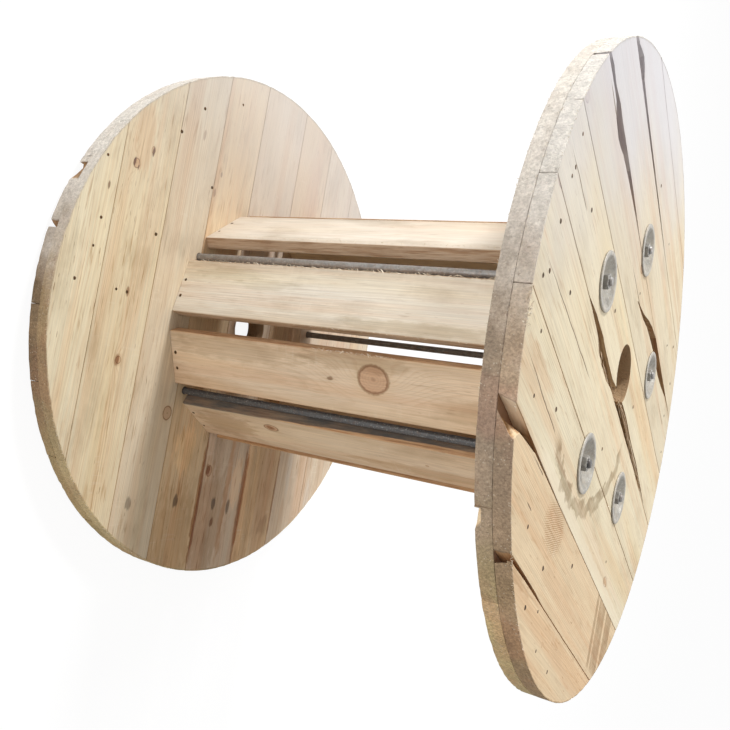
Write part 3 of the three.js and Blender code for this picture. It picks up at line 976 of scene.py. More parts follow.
bleached = (0.800, 0.735, 0.630)
whitish = (0.705, 0.638, 0.545)
brown = (0.735, 0.575, 0.410)
buff = (0.780, 0.610, 0.425)
chance = random.Random(5)
for i, tone in enumerate(
    (bleached, whitish, bleached, brown, buff, tan, tan, straw, honey, cream), start=1
):
    pith = (chance.uniform(-0.05, 0.05), -chance.uniform(0.02, 0.09))
    stand_stave(i, tone, pith, chance.uniform(0.003, 0.0048))


# The upper flange's inner layer: nine pine boards, nailed up in the same way as the lower ones. It
# shows inside the drum, at the rim, and between the outer boards where they have opened.
UPPER_INNER_RUN = math.radians(226.4)


def gap_floor_shade(tree, colour, grain, position):
    """Painted shade on the face that lies under the outer boards, which shows where they stand open."""
    height = parts_of(tree, position)[2]
    return tinted(tree, eased(tree, height, 938.2 * MM, 939.8 * MM), colour, (0.46, 0.36, 0.34))


upper_inner_wood = timber("pine_upper_inner_boards", dirt=(0.44, 0.34, 0.245), foot=(0.64, 0.49, 0.25),
                          bleach_and_highlight=(0.82, 0.775, 0.70), marks_and_painted_light=gap_floor_shade)
lay_layer("upper_inner", UPPER_INNER_RUN,
          (straw, cream, honey, straw, tan, cream, straw, honey, straw),
          upper_inner_wood, seed=31)


# The upper flange's outer layer: nine pine boards nailed slantwise over the inner ones. They have
# split, opened and lost slivers beside their seams, and have stood in the sun and the rain.
UPPER_OUTER_RUN = math.radians(136.4)


def board_parts(tree, grain, i):
    """Along and across one outer board in millimetres, and whether a point is on that board."""
    along, across, _ = parts_of(tree, grain)
    along = less(tree, along, board_start("upper_outer", i))
    here = maths(tree, "LESS_THAN", unsigned(tree, along), 1.0)
    return times(tree, along, 1000.0), times(tree, across, 1000.0), here


def between(tree, value, low, high, soft):
    """1 from low to high, easing off over a soft edge on both sides."""
    return times(tree, eased(tree, value, low - soft, low + soft),
                 eased(tree, value, high - soft, high + soft, 1.0, 0.0))


def sapwood(tree, colour, grain, ragged, z):
    """One board's pale sapwood, and the new wood of its side wall where it split beside a gap, with
    painted light.
    """
    along, across, here = board_parts(tree, grain, 3)
    wavy = plus_times(tree, across, ragged, 9.0)
    pale = maths(tree, "MAXIMUM", between(tree, wavy, -90.0, -42.0, 3.0),
                 times(tree, between(tree, wavy, -31.5, -15.5, 3.0), 0.55))
    pale = times(tree, pale, here, between(tree, along, -700.0, 330.0, 40.0))
    colour = mixed(tree, times(tree, pale, 0.6), colour, (0.84, 0.75, 0.57))
    # Painted light: the split side wall is pale new wood, and is painted brighter than its lamps light
    # it.
    fresh_and_lit = times(tree, between(tree, along, 420.0, 530.0, 25.0),
                  between(tree, across, -84.0, -56.0, 4.0), here)
    fresh_and_lit = times(tree, fresh_and_lit, eased(tree, z, 962.4 * MM, 964.4 * MM, 1.0, 0.0))
    return mixed(tree, times(tree, fresh_and_lit, 0.85), colour, (0.90, 0.72, 0.52))


def ripple_and_mud(tree, colour, grain, ragged, rough):
    """A patch of saw ripple on one board, and dried mud dragged across it."""
    along, across, here = board_parts(tree, grain, 2)
    run = plus(tree, times(tree, along, 0.434), times(tree, across, 0.901))
    ripple = plus_times(tree, times(tree, run, math.tau / 3.4), ragged, 7.0)
    ripple = eased(tree, maths(tree, "SINE", ripple), -0.2, 0.9)
    patch = joined(tree, over(tree, less(tree, along, 178.0), 62.0),
                   over(tree, less(tree, across, 36.0), 40.0))
    patch = plus_times(tree, length(tree, patch), ragged, 0.5)
    ripple = times(tree, ripple, here, eased(tree, patch, 0.7, 1.1, 1.0, 0.0))
    colour = tinted(tree, ripple, colour, (0.66, 0.51, 0.41))

    drag = plus_times(tree, plus(tree, along, 21.6), across, -0.30)
    drag = plus_times(tree, times(tree, drag, -1.0), ragged, 4.0)
    mud = maths(tree, "MAXIMUM", between(tree, drag, 259.0, 328.0, 2.0),
                between(tree, drag, 346.0, 408.0, 3.0))
    mud = maths(tree, "MAXIMUM", between(tree, drag, 228.0, 249.0, 4.0), mud)
    mud = times(tree, mud, here, between(tree, across, -58.0, 90.0, 8.0))
    mud = times(tree, mud, eased(tree, rough, 0.3, 0.62, 0.62, 0.95))
    return tinted(tree, mud, colour, (0.60, 0.54, 0.48))


def outdoor_marks_and_glare(tree, colour, grain, position):
    """What the upper face has been through: sapwood, saw ripple, mud and a wet ring, and a painted glare
    towards -x.
    """
    x, y, z = parts_of(tree, position)
    rough = cloud(tree, position, 38.0, 4.0)
    ragged = about_zero(tree, rough)
    colour = sapwood(tree, colour, grain, ragged, z)
    colour = ripple_and_mud(tree, colour, grain, ragged, rough)

    ring = length(tree, joined(tree, plus(tree, x, 93 * MM), plus(tree, y, 129 * MM)))
    ring = plus_times(tree, ring, ragged, 60 * MM)
    lower_half = times(tree, eased(tree, x, 0.0, 0.04), between(tree, y, -0.42, 0.02, 0.02))
    wet = times(tree, between(tree, ring, 0.287, 0.314, 0.004), lower_half)
    wet = times(tree, wet, eased(tree, rough, 0.35, 0.6, 0.6, 1.0))
    colour = tinted(tree, wet, colour, (0.56, 0.51, 0.45))

    # Painted glare: towards -x the face is washed out to a pale lilac grey.
    drift = about_zero(tree, cloud(tree, position, 5.0, 3.0))
    up = plus_times(tree, times(tree, x, -1.0), drift, 0.25)
    return mixed(tree, eased(tree, up, 0.12, 0.58, 0.0, 0.82), colour, (0.62, 0.617, 0.66))


def upper_board(i, along_mm, across_mm):
    return on_board("upper_outer", i, along_mm, across_mm)


def shake(i, across_mm, start_mm, end_mm, slant=0.0, width=1.6 * MM):
    """A drying crack in one outer board, from its places in millimetres."""
    start = board_start("upper_outer", i)
    return across_mm * MM, start + start_mm * MM, start + end_mm * MM, width, slant


upper_outer_wood = timber(
    "pine_upper_outer_boards",
    knots=[(*upper_board(6, 588, -53), 0.010, 1.3)],
    cracks=[
        shake(4, -1, 204, 582, slant=-0.045),
        shake(3, -8.4, 294, 526, slant=0.07),
        shake(5, -4.5, 449, 587),
        shake(6, 5.5, 6, 156),
        shake(6, 10.5, -490, -350),
        shake(6, 54, 450, 525, slant=0.06, width=2.4 * MM),
        shake(2, 65, 300, 368, width=1.2 * MM),
        shake(2, 7, 308, 342, slant=0.06),
    ],
    stains=[
        (*upper_board(3, 436, 22), 0.09, 0.016, (0.88, 0.72, 0.62), 0.6),
        (*upper_board(3, 215, -26), 0.075, 0.004, (0.80, 0.62, 0.50), 0.7),
        (*upper_board(1, 300, 40), 0.10, 0.010, (0.66, 0.52, 0.40), 0.6),
    ],
    line=0.15, blush_share=0.75, flecks=0.6, mottle=0.12, edges=0.35, side_wood_and_shade=(0.60, 0.44, 0.30),
    dirt=(0.42, 0.31, 0.215), foot=(0.44, 0.30, 0.165), bleach_and_highlight=(0.82, 0.775, 0.70),
    marks_and_painted_light=outdoor_marks_and_glare,
)
sunned = (0.775, 0.680, 0.490)
dulled = (0.700, 0.612, 0.450)
lay_layer("upper_outer", UPPER_OUTER_RUN,
          (straw, straw, sunned, sunned, sunned, dulled, dulled, dulled, dulled),
          upper_outer_wood, seed=47, swell=0.2 * MM)


# Ten dished washers, pressed from zinc-plated plate: a flat rim that lies on the outer boards round
# a bowl that sinks the nut below them. The zinc has dulled, and the bowls are darker, from settled
# dust and painted shade.
MIDDLE = 487.1 * MM           # the drum's middle above the floor
OUTER_FACE = 478.3 * MM       # a flange's outer face from the drum's middle
ROD_CIRCLE = 260 * MM
ROD_ANGLES = [150, 222, 294, 6, 78]
WASHER_FACETS = 96
BOWL_FACES = 16               # a washer's last faces in each strip, which lie inside its bowl


def rod_place(angle, z):
    """A place on a tie rod's axis."""
    turn = math.radians(angle)
    return Vector((ROD_CIRCLE * math.cos(turn), ROD_CIRCLE * math.sin(turn), z))


def lathe(profile, count):
    """Points and faces of a profile of (radius, height) turned about Z. It closes on itself."""
    points, faces = [], []
    for turn in range(count):
        angle = math.tau * turn / count
        points += [(r * math.cos(angle), r * math.sin(angle), z) for r, z in profile]
    size = len(profile)
    for turn in range(count):
        here, there = turn * size, (turn + 1) % count * size
        for k in range(size):
            after = (k + 1) % size
            faces.append((here + k, there + k, there + after, here + after))
    return points, faces


def washer_profile():
    """Round the washer's section: hole, underside of the bowl, rim, and the bowl's inside."""
    plate, hole, seat, mouth, edge = 3 * MM, 8.5 * MM, 17 * MM, 44 * MM, 52 * MM
    floor, top, steps = -9.5 * MM, 3.3 * MM, 14
    under, inside_bowl = [], []
    for k in range(steps + 1):
        way = k / steps
        rise = way ** 1.35
        under.append((seat + 1.5 * MM + (mouth - seat) * way, floor - plate + (top - floor) * rise))
        inside_bowl.append((seat + (mouth - seat) * way, floor + (top - floor) * rise))
    lip = [(edge - 0.5 * MM, top - plate), (edge, top - plate + 0.6 * MM), (edge, top - 1.1 * MM),
           (edge - 0.35 * MM, top - 0.35 * MM), (edge - 1.1 * MM, top)]
    return [(hole, floor - plate), *under, *lip, *reversed(inside_bowl), (hole, floor)]


def dull_plating():
    """Plated steel that has stood outdoors: cloudy patches, white bloom, dust, and spots of rust."""
    tree, given, made = recipe(
        "dull_plating", ("Position",), ("Colour", "Rough", "Bare", "Height"),
        Metal=(0.5, 0.5, 0.5), Dust=(0.52, 0.45, 0.35), Rust=(0.20, 0.09, 0.04),
        Bloom=(0.72, 0.72, 0.70), Dusty=0.4, Rusty=0.2)
    place = given["Position"]
    patches = cloud(tree, place, 95.0, 4.0, 0.55)
    metal = tinted(tree, eased(tree, patches, 0.35, 0.65), given["Metal"], (0.72, 0.72, 0.74))
    bloom = times(tree, eased(tree, cloud(tree, place, 310.0, 3.0, 0.55), 0.56, 0.7), 0.35)
    metal = mixed(tree, bloom, metal, given["Bloom"])
    dust = times(tree, eased(tree, cloud(tree, place, 48.0, 5.0, 0.62), 0.36, 0.66), given["Dusty"])
    colour = mixed(tree, dust, metal, given["Dust"])
    rust = times(tree, eased(tree, cloud(tree, place, 160.0, 5.0, 0.65), 0.5, 0.66), given["Rusty"])
    colour = mixed(tree, rust, colour, given["Rust"])
    cover = maths(tree, "MAXIMUM", dust, rust)
    rough = plus_times(tree, 0.34, patches, 0.2)
    return give(tree, made, Colour=colour, Bare=less(tree, 1.0, cover),
                Rough=plus_times(tree, rough, cover, 0.35),
                Height=plus(tree, cloud(tree, place, 700.0, 2.0, 0.55), rust))


PLATING = dull_plating()


def plated(name, metal, dusty, rusty, shine, dust=(0.52, 0.45, 0.35), bloom=(0.72, 0.72, 0.70)):
    """A metal finish. shine is how metallic the bare parts are."""
    material, tree, shader = blank_material(name)
    position = put(tree, "ShaderNodeTexCoord", {}).outputs["Object"]
    skin = use(tree, PLATING, Position=position, Metal=metal, Dusty=dusty, Rusty=rusty, Dust=dust,
               Bloom=bloom)
    tree.links.new(skin["Rough"], shader.inputs["Roughness"])
    tree.links.new(times(tree, skin["Bare"], shine), shader.inputs["Metallic"])
    coat(tree, shader, skin["Colour"], skin["Height"], 0.35, 0.4 * MM)
    return material


def turned_piece(name, node, points, faces, place, flip, materials, finish):
    """A turned piece in the place of its plain solid. finish is the number of each face's material."""
    made = bpy.data.meshes.new(name)
    sign = -1 if flip else 1
    made.from_pydata([(x + place.x, sign * y + place.y, sign * z + place.z) for x, y, z in points],
                     [], faces)
    for polygon in made.polygons:
        polygon.use_smooth = True
    made.set_sharp_from_angle(angle=math.radians(40))
    piece = new_object(name, made)
    for material in materials:
        made.materials.append(material)
    made.polygons.foreach_set("material_index", finish)
    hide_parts(node)
    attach(piece, "root")


washer_zinc = plated("washer_zinc", (0.43, 0.41, 0.365), dusty=0.45, rusty=0.12, shine=0.25)
# The bowls' darker zinc is settled dust and painted shade.
bowl_zinc_dust_and_shade = plated("bowl_zinc_dust_and_shade", (0.33, 0.31, 0.265), dusty=0.5, rusty=0.15, shine=0.25,
                    dust=(0.44, 0.39, 0.31))
nut_zinc = plated("nut_zinc", (0.36, 0.345, 0.31), dusty=0.35, rusty=0.25, shine=0.4,
                  dust=(0.30, 0.27, 0.23))
washer_points, washer_faces = lathe(washer_profile(), WASHER_FACETS)
strip = len(washer_profile())
in_bowl = [int(k % strip >= strip - BOWL_FACES) for k in range(len(washer_faces))]
for i, angle in enumerate(ROD_ANGLES, start=1):
    for end, sign in (("upper", 1), ("lower", -1)):
        turned_piece(f"{end}_washer_{i}_dished", f"{end}_washer_{i}", washer_points, washer_faces,
                     rod_place(angle, MIDDLE + sign * OUTER_FACE), sign < 0,
                     (washer_zinc, bowl_zinc_dust_and_shade), in_bowl)


# Five tie rods of drawn steel, threaded at both ends, with a hexagon nut pulled down into each
# washer's bowl. They hold the flanges on the barrel.
ROD_RADIUS = 8 * MM
ROD_END = 487.1 * MM          # a rod's end from the drum's middle
NUT_SEAT = 469.1 * MM
NUT_HEIGHT = 13 * MM
THREAD = 46 * MM              # threaded length at each end
THREAD_PITCH = 2 * MM


def rod_profile():
    """Half of a rod's outline from its middle to its end, with the thread's ridges."""
    root = ROD_RADIUS - 0.9 * MM
    outline = [(ROD_RADIUS - 0.15 * MM, 0.0), (ROD_RADIUS - 0.15 * MM, ROD_END - THREAD - 2 * MM)]
    for k in range(round((THREAD - 2 * MM) / THREAD_PITCH)):
        z = ROD_END - THREAD + k * THREAD_PITCH
        outline += [(root, z), (ROD_RADIUS, z + THREAD_PITCH / 2)]
    return outline + [(ROD_RADIUS - 1.1 * MM, ROD_END - 0.3 * MM), (ROD_RADIUS - 1.6 * MM, ROD_END)]


def capped(rings, count):
    """The faces between rings of points that follow each other, with a lid at each end."""
    faces = []
    for low in range(0, (rings - 1) * count, count):
        for k in range(count):
            after = (k + 1) % count
            faces.append((low + k, low + after, low + count + after, low + count + k))
    faces.append(tuple(reversed(range(count))))
    faces.append(tuple(range((rings - 1) * count, rings * count)))
    return faces


def rod_shell(count=28):
    half = rod_profile()
    outline = [(r, -z) for r, z in reversed(half)] + half[1:]
    angles = [math.tau * k / count for k in range(count)]
    points = [(r * math.cos(angle), r * math.sin(angle), z) for r, z in outline for angle in angles]
    return points, capped(len(outline), count)


def nut_shell(turn, count=48):
    """A hexagon nut, chamfered at both faces and countersunk at its thread, from 0 to its height."""
    flat, corner, chamfer, countersink = 12 * MM, 13.86 * MM, 1.07 * MM, 9.4 * MM
    levels = [(0.0, flat), (chamfer * 0.5, (flat + corner) / 2), (chamfer, corner)]
    levels += [(NUT_HEIGHT - z, limit) for z, limit in reversed(levels)]
    rings = [(countersink, 0.0, 0.0)] + [(1.0, z, limit) for z, limit in levels]
    rings += [(countersink, NUT_HEIGHT, 0.0), (ROD_RADIUS, NUT_HEIGHT - 1.2 * MM, 0.0)]
    points = []
    for radius, z, limit in rings:
        for k in range(count):
            angle = math.tau * k / count
            bend = (angle + math.radians(30)) % math.radians(60) - math.radians(30)
            r = min(limit, flat / math.cos(bend)) if limit else radius
            points.append((r * math.cos(angle + turn), r * math.sin(angle + turn), z))
    return points, capped(len(rings), count)


rod_steel = plated("rod_steel", (0.31, 0.30, 0.285), dusty=0.4, rusty=0.3, shine=0.5,
                   dust=(0.26, 0.22, 0.18))
# Tie rod 3 lies in a dark gap between staves: its near-black steel is painted shade.
shaded_rod_steel = plated("rod_steel_painted_shade", (0.085, 0.085, 0.085), dusty=0.25, rusty=0.2, shine=0.35,
                     dust=(0.12, 0.11, 0.10))
SHADED_ROD = 3
chance = random.Random(9)
for i, angle in enumerate(ROD_ANGLES, start=1):
    points, faces = rod_shell()
    finish = [0] * len(faces)
    for sign in (1, -1):
        nut_points, nut_faces = nut_shell(chance.uniform(0, 1))
        first = len(points)
        points += [(px, sign * py, sign * (pz + NUT_SEAT)) for px, py, pz in nut_points]
        faces += [tuple(first + k for k in face) for face in nut_faces]
        finish += [1] * len(nut_faces)
    steel = shaded_rod_steel if i == SHADED_ROD else rod_steel
    turned_piece(f"tie_rod_{i}_threaded", f"tie_rod_{i}", points, faces, rod_place(angle, MIDDLE),
                 False, (steel, nut_zinc), finish)


# Wire nails hold the boards to each other and the staves to the flanges. Their heads are driven
# flush or a little below the face, and they have rusted brown.
NAIL_HEAD = 4.3 * MM
HEAD_DEPTH = 0.6 * MM         # the middle of a head below the wood's face
UPPER_FACE = MIDDLE + OUTER_FACE
LOWER_FACE = MIDDLE - OUTER_FACE
WINDING = 428 * MM            # a flange's winding face from the drum's middle
BARREL_RADIUS = 280 * MM      # to the staves' outer corners
STAVE_EDGES = (               # the angles of each stave's two outer corners, in degrees
    (157, 178), (185, 212.7), (227.5, 253), (261.7, 287), (298, 323),
    (331, 358.5), (374, 399), (407.5, 431), (445, 471), (479, 502.5),
)
NAIL_CIRCLES = (548, 385)     # the nails' distances from the axis, near the rim and near the barrel
LOWER_OUTER_WIDTHS = (130, 131, 142, 144, 150, 155, 163, 185)
UPPER_INNER_WIDTHS = (116, 140, 139, 141, 160, 158, 133, 116, 97)

upper_face_nails = [
    (-302, -451), (-235, -514), (-238, -487), (-198, -387), (-313, -299), (-161, -510), (-76, -526),
    (-33, -424), (-135, -106), (90, 106), (111, -132), (-143, 91), (-420, -369), (-374, -394),
    (-362, -410), (-350, 215), (-224, 356), (20, 438), (37, 523), (129, 524), (202, 478),
    (295, 479), (110, -524), (206, -445), (272, -284), (370, -36), (234, -519), (269, -458),
    (335, -457), (407, -393),
]
lower_winding_nails = [
    (-410, -421), (-290, -448), (-237, -472), (-178, -522), (-466, -213), (-518, -137),
    (-346, -123), (-251, -304), (-137, -393), (-146, -421), (-538, -4),
]


def nail_rows(direction, widths, chance):
    """Two nails in each board near the rim and near the barrel, as the flange is nailed up. Directions
    apart, everything is in millimetres."""
    across = Vector((math.cos(direction), math.sin(direction)))
    along = Vector((-math.sin(direction), math.cos(direction)))
    seam, spots = -600.0, []
    for width in widths:
        for aside in (0.25, 0.75):
            place = seam + width * aside + chance.uniform(-8, 8)
            for radius in NAIL_CIRCLES:
                if abs(place) < radius - 30:
                    reach = math.sqrt(radius ** 2 - place ** 2)
                    for side in (-1, 1):
                        spot = across * place + along * side * (reach + chance.uniform(-12, 12))
                        spots.append((spot.x, spot.y))
        seam += width
    return spots


def growing(name, sizes, material):
    """A geometry tree with a name for each of its sizes and for its material, which is set last."""
    tree = bpy.data.node_groups.new(name, "GeometryNodeTree")
    face = tree.interface
    face.new_socket("Geometry", in_out="INPUT", socket_type="NodeSocketGeometry")
    for socket, value in sizes.items():
        kind = "NodeSocketInt" if isinstance(value, int) else "NodeSocketFloat"
        face.new_socket(socket, in_out="INPUT", socket_type=kind).default_value = value
    face.new_socket(material, in_out="INPUT", socket_type="NodeSocketMaterial")
    face.new_socket("Geometry", in_out="OUTPUT", socket_type="NodeSocketGeometry")
    return tree, tree.nodes.new("NodeGroupInput").outputs


def realized(tree, instances, material):
    """Ends a geometry tree: its instances become one mesh of one material."""
    solid = put(tree, "GeometryNodeRealizeInstances", {0: instances})
    coated = put(tree, "GeometryNodeSetMaterial",
                 {"Geometry": solid.outputs[0], "Material": material})
    tree.links.new(coated.outputs[0], tree.nodes.new("NodeGroupOutput").inputs[0])
    return tree


def nail_tree():
    """A round head on each point, turned to its own way out of the wood and a little off true."""
    tree, given = growing("nail_heads", {
        "Head Radius": NAIL_HEAD, "Head Height": 0.9 * MM, "Tilt": 0.14, "Seed": 3}, "Iron")
    crown = times(tree, given["Head Radius"], 0.72)
    head = put(tree, "GeometryNodeMeshCone",
               {"Vertices": 10, "Radius Top": crown, "Radius Bottom": given["Head Radius"],
                "Depth": given["Head Height"]})
    facing = put(tree, "GeometryNodeInputNamedAttribute", {"Name": "facing"},
                 data_type="FLOAT_VECTOR").outputs["Attribute"]
    stand = put(tree, "FunctionNodeAlignRotationToVector", {"Vector": facing}, axis="Z")
    tilt = given["Tilt"]
    lean = times(tree, tilt, -1.0)
    wobble = put(tree, "FunctionNodeRandomValue",
                 {"Min": joined(tree, lean, lean), "Max": joined(tree, tilt, tilt, 3.0),
                  "Seed": given["Seed"]}, data_type="FLOAT_VECTOR")
    size = put(tree, "FunctionNodeRandomValue", {2: 0.85, 3: 1.15, "Seed": given["Seed"]},
               data_type="FLOAT")
    turn = put(tree, "FunctionNodeRotateRotation",
               {"Rotation": stand.outputs[0], "Rotate By": wobble.outputs[0]}, rotation_space="LOCAL")
    nails = put(tree, "GeometryNodeInstanceOnPoints",
                {"Points": given["Geometry"], "Instance": head.outputs["Mesh"],
                 "Rotation": turn.outputs[0], "Scale": size.outputs[1]})
    return realized(tree, nails.outputs[0], given["Iron"])


def grow(name, tree, points, edges, inputs, facing=None):
    """Runs a geometry tree on a few points and keeps the result as one plain piece on the drum."""
    seed_mesh = bpy.data.meshes.new(name + "_points")
    seed_mesh.from_pydata(points, edges, [])
    if facing:
        spots = seed_mesh.attributes.new("facing", "FLOAT_VECTOR", "POINT")
        spots.data.foreach_set("vector", [value for way in facing for value in way])
    seed_object = new_object(name + "_points", seed_mesh)
    grown = seed_object.modifiers.new("grow", "NODES")
    grown.node_group = tree
    for item in tree.interface.items_tree:
        if item.name in inputs:
            grown[item.identifier] = inputs[item.name]
    ready = seed_object.evaluated_get(bpy.context.evaluated_depsgraph_get())
    made = bpy.data.meshes.new_from_object(ready)
    bpy.data.objects.remove(seed_object)
    bpy.data.meshes.remove(seed_mesh)
    made.name = name
    piece = new_object(name, made)
    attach(piece, "root")
    return piece


OUTWARD = {"up": (0, 0, 1), "down": (0, 0, -1)}
OFF_ROW = 5                   # the upper layer's one nail that was driven 30 mm beside its place
chance = random.Random(17)
lower_rows = nail_rows(LOWER_OUTER_RUN, LOWER_OUTER_WIDTHS, chance)
upper_rows = nail_rows(UPPER_INNER_RUN, UPPER_INNER_WIDTHS, chance)
upper_rows[OFF_ROW] = (upper_rows[OFF_ROW][0], 30.06)
nail_points, nail_facing = [], []
for spots, z, way in (
    (upper_face_nails, UPPER_FACE - HEAD_DEPTH, "up"),
    (lower_winding_nails, MIDDLE - WINDING - HEAD_DEPTH, "up"),
    (lower_rows, LOWER_FACE + HEAD_DEPTH, "down"),
    (upper_rows, MIDDLE + WINDING + HEAD_DEPTH, "down"),
):
    nail_points += [(x * MM, y * MM, z) for x, y in spots]
    nail_facing += [OUTWARD[way]] * len(spots)
for start, end in STAVE_EDGES:
    middle, half = math.radians((start + end) / 2), math.radians((end - start) / 2)
    out = Vector((math.cos(middle), math.sin(middle), 0))
    aside = Vector((-out.y, out.x, 0))
    for z in (MIDDLE - WINDING + 10 * MM, MIDDLE + WINDING - 10 * MM):
        for share in (-0.28, 0.4):
            spot = out * (BARREL_RADIUS * math.cos(half) - HEAD_DEPTH)
            spot += aside * BARREL_RADIUS * math.sin(half) * (share + chance.uniform(-0.1, 0.1))
            nail_points.append((spot.x, spot.y, z + chance.uniform(-3, 3) * MM))
            nail_facing.append(tuple(out))
rusty_iron = plated("rusty_nail_iron", (0.085, 0.050, 0.025), dusty=0.1, rusty=0.85, shine=0.0,
                    dust=(0.20, 0.15, 0.09), bloom=(0.14, 0.11, 0.07))
rusty_iron.node_tree.nodes["Principled BSDF"].inputs["Specular IOR Level"].default_value = 0.08
nails = grow("nail_heads", nail_tree(), nail_points, [], {"Seed": 3, "Iron": rusty_iron}, nail_facing)


# Torn wood: where a board has split or a sliver has come off, loose splinters and fibres lie
# along the break, still pale inside.
def splinter_tree():
    """Needles of ripped wood along a line, each of its own length, width, lean and shade."""
    tree, given = growing("splinters", {
        "Count": 30, "Shortest": 0.015, "Longest": 0.05, "Width": 0.0014, "Spread": 0.004,
        "Tilt": 0.08, "Seed": 1}, "Fibre")
    line = put(tree, "GeometryNodeMeshToCurve", {"Mesh": given["Geometry"]})
    laid = put(tree, "GeometryNodeCurveToPoints", {"Curve": line.outputs[0], "Count": given["Count"]},
               mode="COUNT").outputs

    def drawn(low, high, number, kind="FLOAT"):
        """A random value for each needle."""
        least, most, result = {"FLOAT": (2, 3, 1), "FLOAT_VECTOR": (0, 1, 0)}[kind]
        seed = plus(tree, given["Seed"], number)
        return put(tree, "FunctionNodeRandomValue", {least: low, most: high, "Seed": seed},
                   data_type=kind).outputs[result]

    def either_way(value, number):
        """A random vector, with each part from minus the value to the value."""
        back = times(tree, value, -1.0)
        return drawn(joined(tree, back, back, back), joined(tree, value, value, value), number,
                     "FLOAT_VECTOR")

    moved = put(tree, "GeometryNodeSetPosition",
                {"Geometry": laid["Points"], "Offset": either_way(given["Spread"], 1)})
    needle = put(tree, "GeometryNodeMeshIcoSphere", {"Radius": 0.5, "Subdivisions": 1})
    long = drawn(given["Shortest"], given["Longest"], 2)
    wide = times(tree, given["Width"], drawn(0.5, 1.4, 3))
    along = put(tree, "FunctionNodeAlignRotationToVector", {"Vector": laid["Tangent"]}, axis="X")
    turn = put(tree, "FunctionNodeRotateRotation",
               {"Rotation": along.outputs[0], "Rotate By": either_way(given["Tilt"], 4)},
               rotation_space="LOCAL")
    slivers = put(tree, "GeometryNodeInstanceOnPoints",
                  {"Points": moved.outputs[0], "Instance": needle.outputs["Mesh"],
                   "Rotation": turn.outputs[0],
                   "Scale": joined(tree, long, wide, times(tree, wide, 0.6))})
    shade = put(tree, "GeometryNodeStoreNamedAttribute",
                {"Geometry": slivers.outputs[0], "Name": "shade", "Value": drawn(0.0, 1.0, 5)},
                data_type="FLOAT", domain="INSTANCE")
    return realized(tree, shade.outputs[0], given["Fibre"])


def torn_fibre(name, dark, pale):
    """Torn pine: each sliver is paler or darker than the next, and finely speckled."""
    material, tree, shader = blank_material(name)
    speckle = cloud(tree, put(tree, "ShaderNodeTexCoord", {}).outputs["Object"], 420.0, 3.0)
    colour = mixed(tree, attribute(tree, "shade"), dark, pale)
    colour = dimmed(tree, eased(tree, speckle, 0.3, 0.7, 0.8, 1.05), colour)
    shader.inputs["Roughness"].default_value = 0.85
    coat(tree, shader, colour, speckle, 0.4, 0.3 * MM)
    return material


def on_face(direction, across, along, z):
    """A place on a flange from its distances across and along the boards, in millimetres."""
    x = across * math.cos(direction) - along * math.sin(direction)
    y = across * math.sin(direction) + along * math.cos(direction)
    return x * MM, y * MM, z


def grow_lines(name, lines, sizes, material):
    """Splinters along some lines of points, as one piece."""
    points, edges = [], []
    for line in lines:
        edges += [(k, k + 1) for k in range(len(points), len(points) + len(line) - 1)]
        points += line
    piece = grow(name, splinters, points, edges, {**sizes, "Fibre": material})


splinters = splinter_tree()
fibre = torn_fibre("torn_pine_fibre", (0.40, 0.25, 0.14), (0.80, 0.66, 0.47))
breaks = {
    "split_below_bore": (
        4, [(-44, -62), (-43, -110), (-48, -190), (-49, -290), (-55, -400), (-59, -465)],
        {"Count": 46, "Longest": 0.07, "Width": 0.0022, "Spread": 0.0035, "Tilt": 0.05}),
    "split_above_bore": (
        3, [(-66, 250), (-72, 200), (-76, 150), (-72, 100), (-68, 40)],
        {"Count": 40, "Longest": 0.05, "Width": 0.002, "Spread": 0.003, "Tilt": 0.06}),
    "held_splinter": (
        1.5, [(-47, -95), (-49, -190), (-49, -300)],
        {"Count": 4, "Shortest": 0.09, "Longest": 0.17, "Width": 0.0042, "Spread": 0.002,
         "Tilt": 0.012}),
    "bore_lip": (
        4, [(-52, 6), (-48, -30), (-42, -56)],
        {"Count": 16, "Shortest": 0.008, "Longest": 0.02, "Width": 0.003, "Spread": 0.003,
         "Tilt": 0.4}),
    "torn_edge": (
        5, [(160, -60), (181, -130), (184, -200), (185, -300), (196, -380), (210, -440)],
        {"Count": 24, "Longest": 0.045, "Width": 0.0014, "Spread": 0.003, "Tilt": 0.05}),
}
for number, (name, (depth, line, sizes)) in enumerate(breaks.items(), start=1):
    line = [on_face(UPPER_OUTER_RUN, across, along, UPPER_FACE - depth * MM) for across, along in line]
    grow_lines(name + "_splinters", [line], {**sizes, "Seed": number}, fibre)


EDGE_RADIUS = FLANGE_RADIUS - 1 * MM
UPPER_WINDING_EDGE = 915.6 * MM   # the height of a flange's edge on the inside of the drum
LOWER_WINDING_EDGE = 58.6 * MM


def round_edge(z, *spans):
    """Lines along a flange's edge, one for each pair of angles in degrees."""
    lines = []
    for start, end in spans:
        steps = max(2, round(abs(end - start) / 2))
        angles = [math.radians(start + (end - start) * k / steps) for k in range(steps + 1)]
        lines.append([(EDGE_RADIUS * math.cos(a), EDGE_RADIUS * math.sin(a), z) for a in angles])
    return lines


def upright(x, y, *heights):
    """One line up a stave's edge."""
    return [[(x, y, z) for z in heights]]


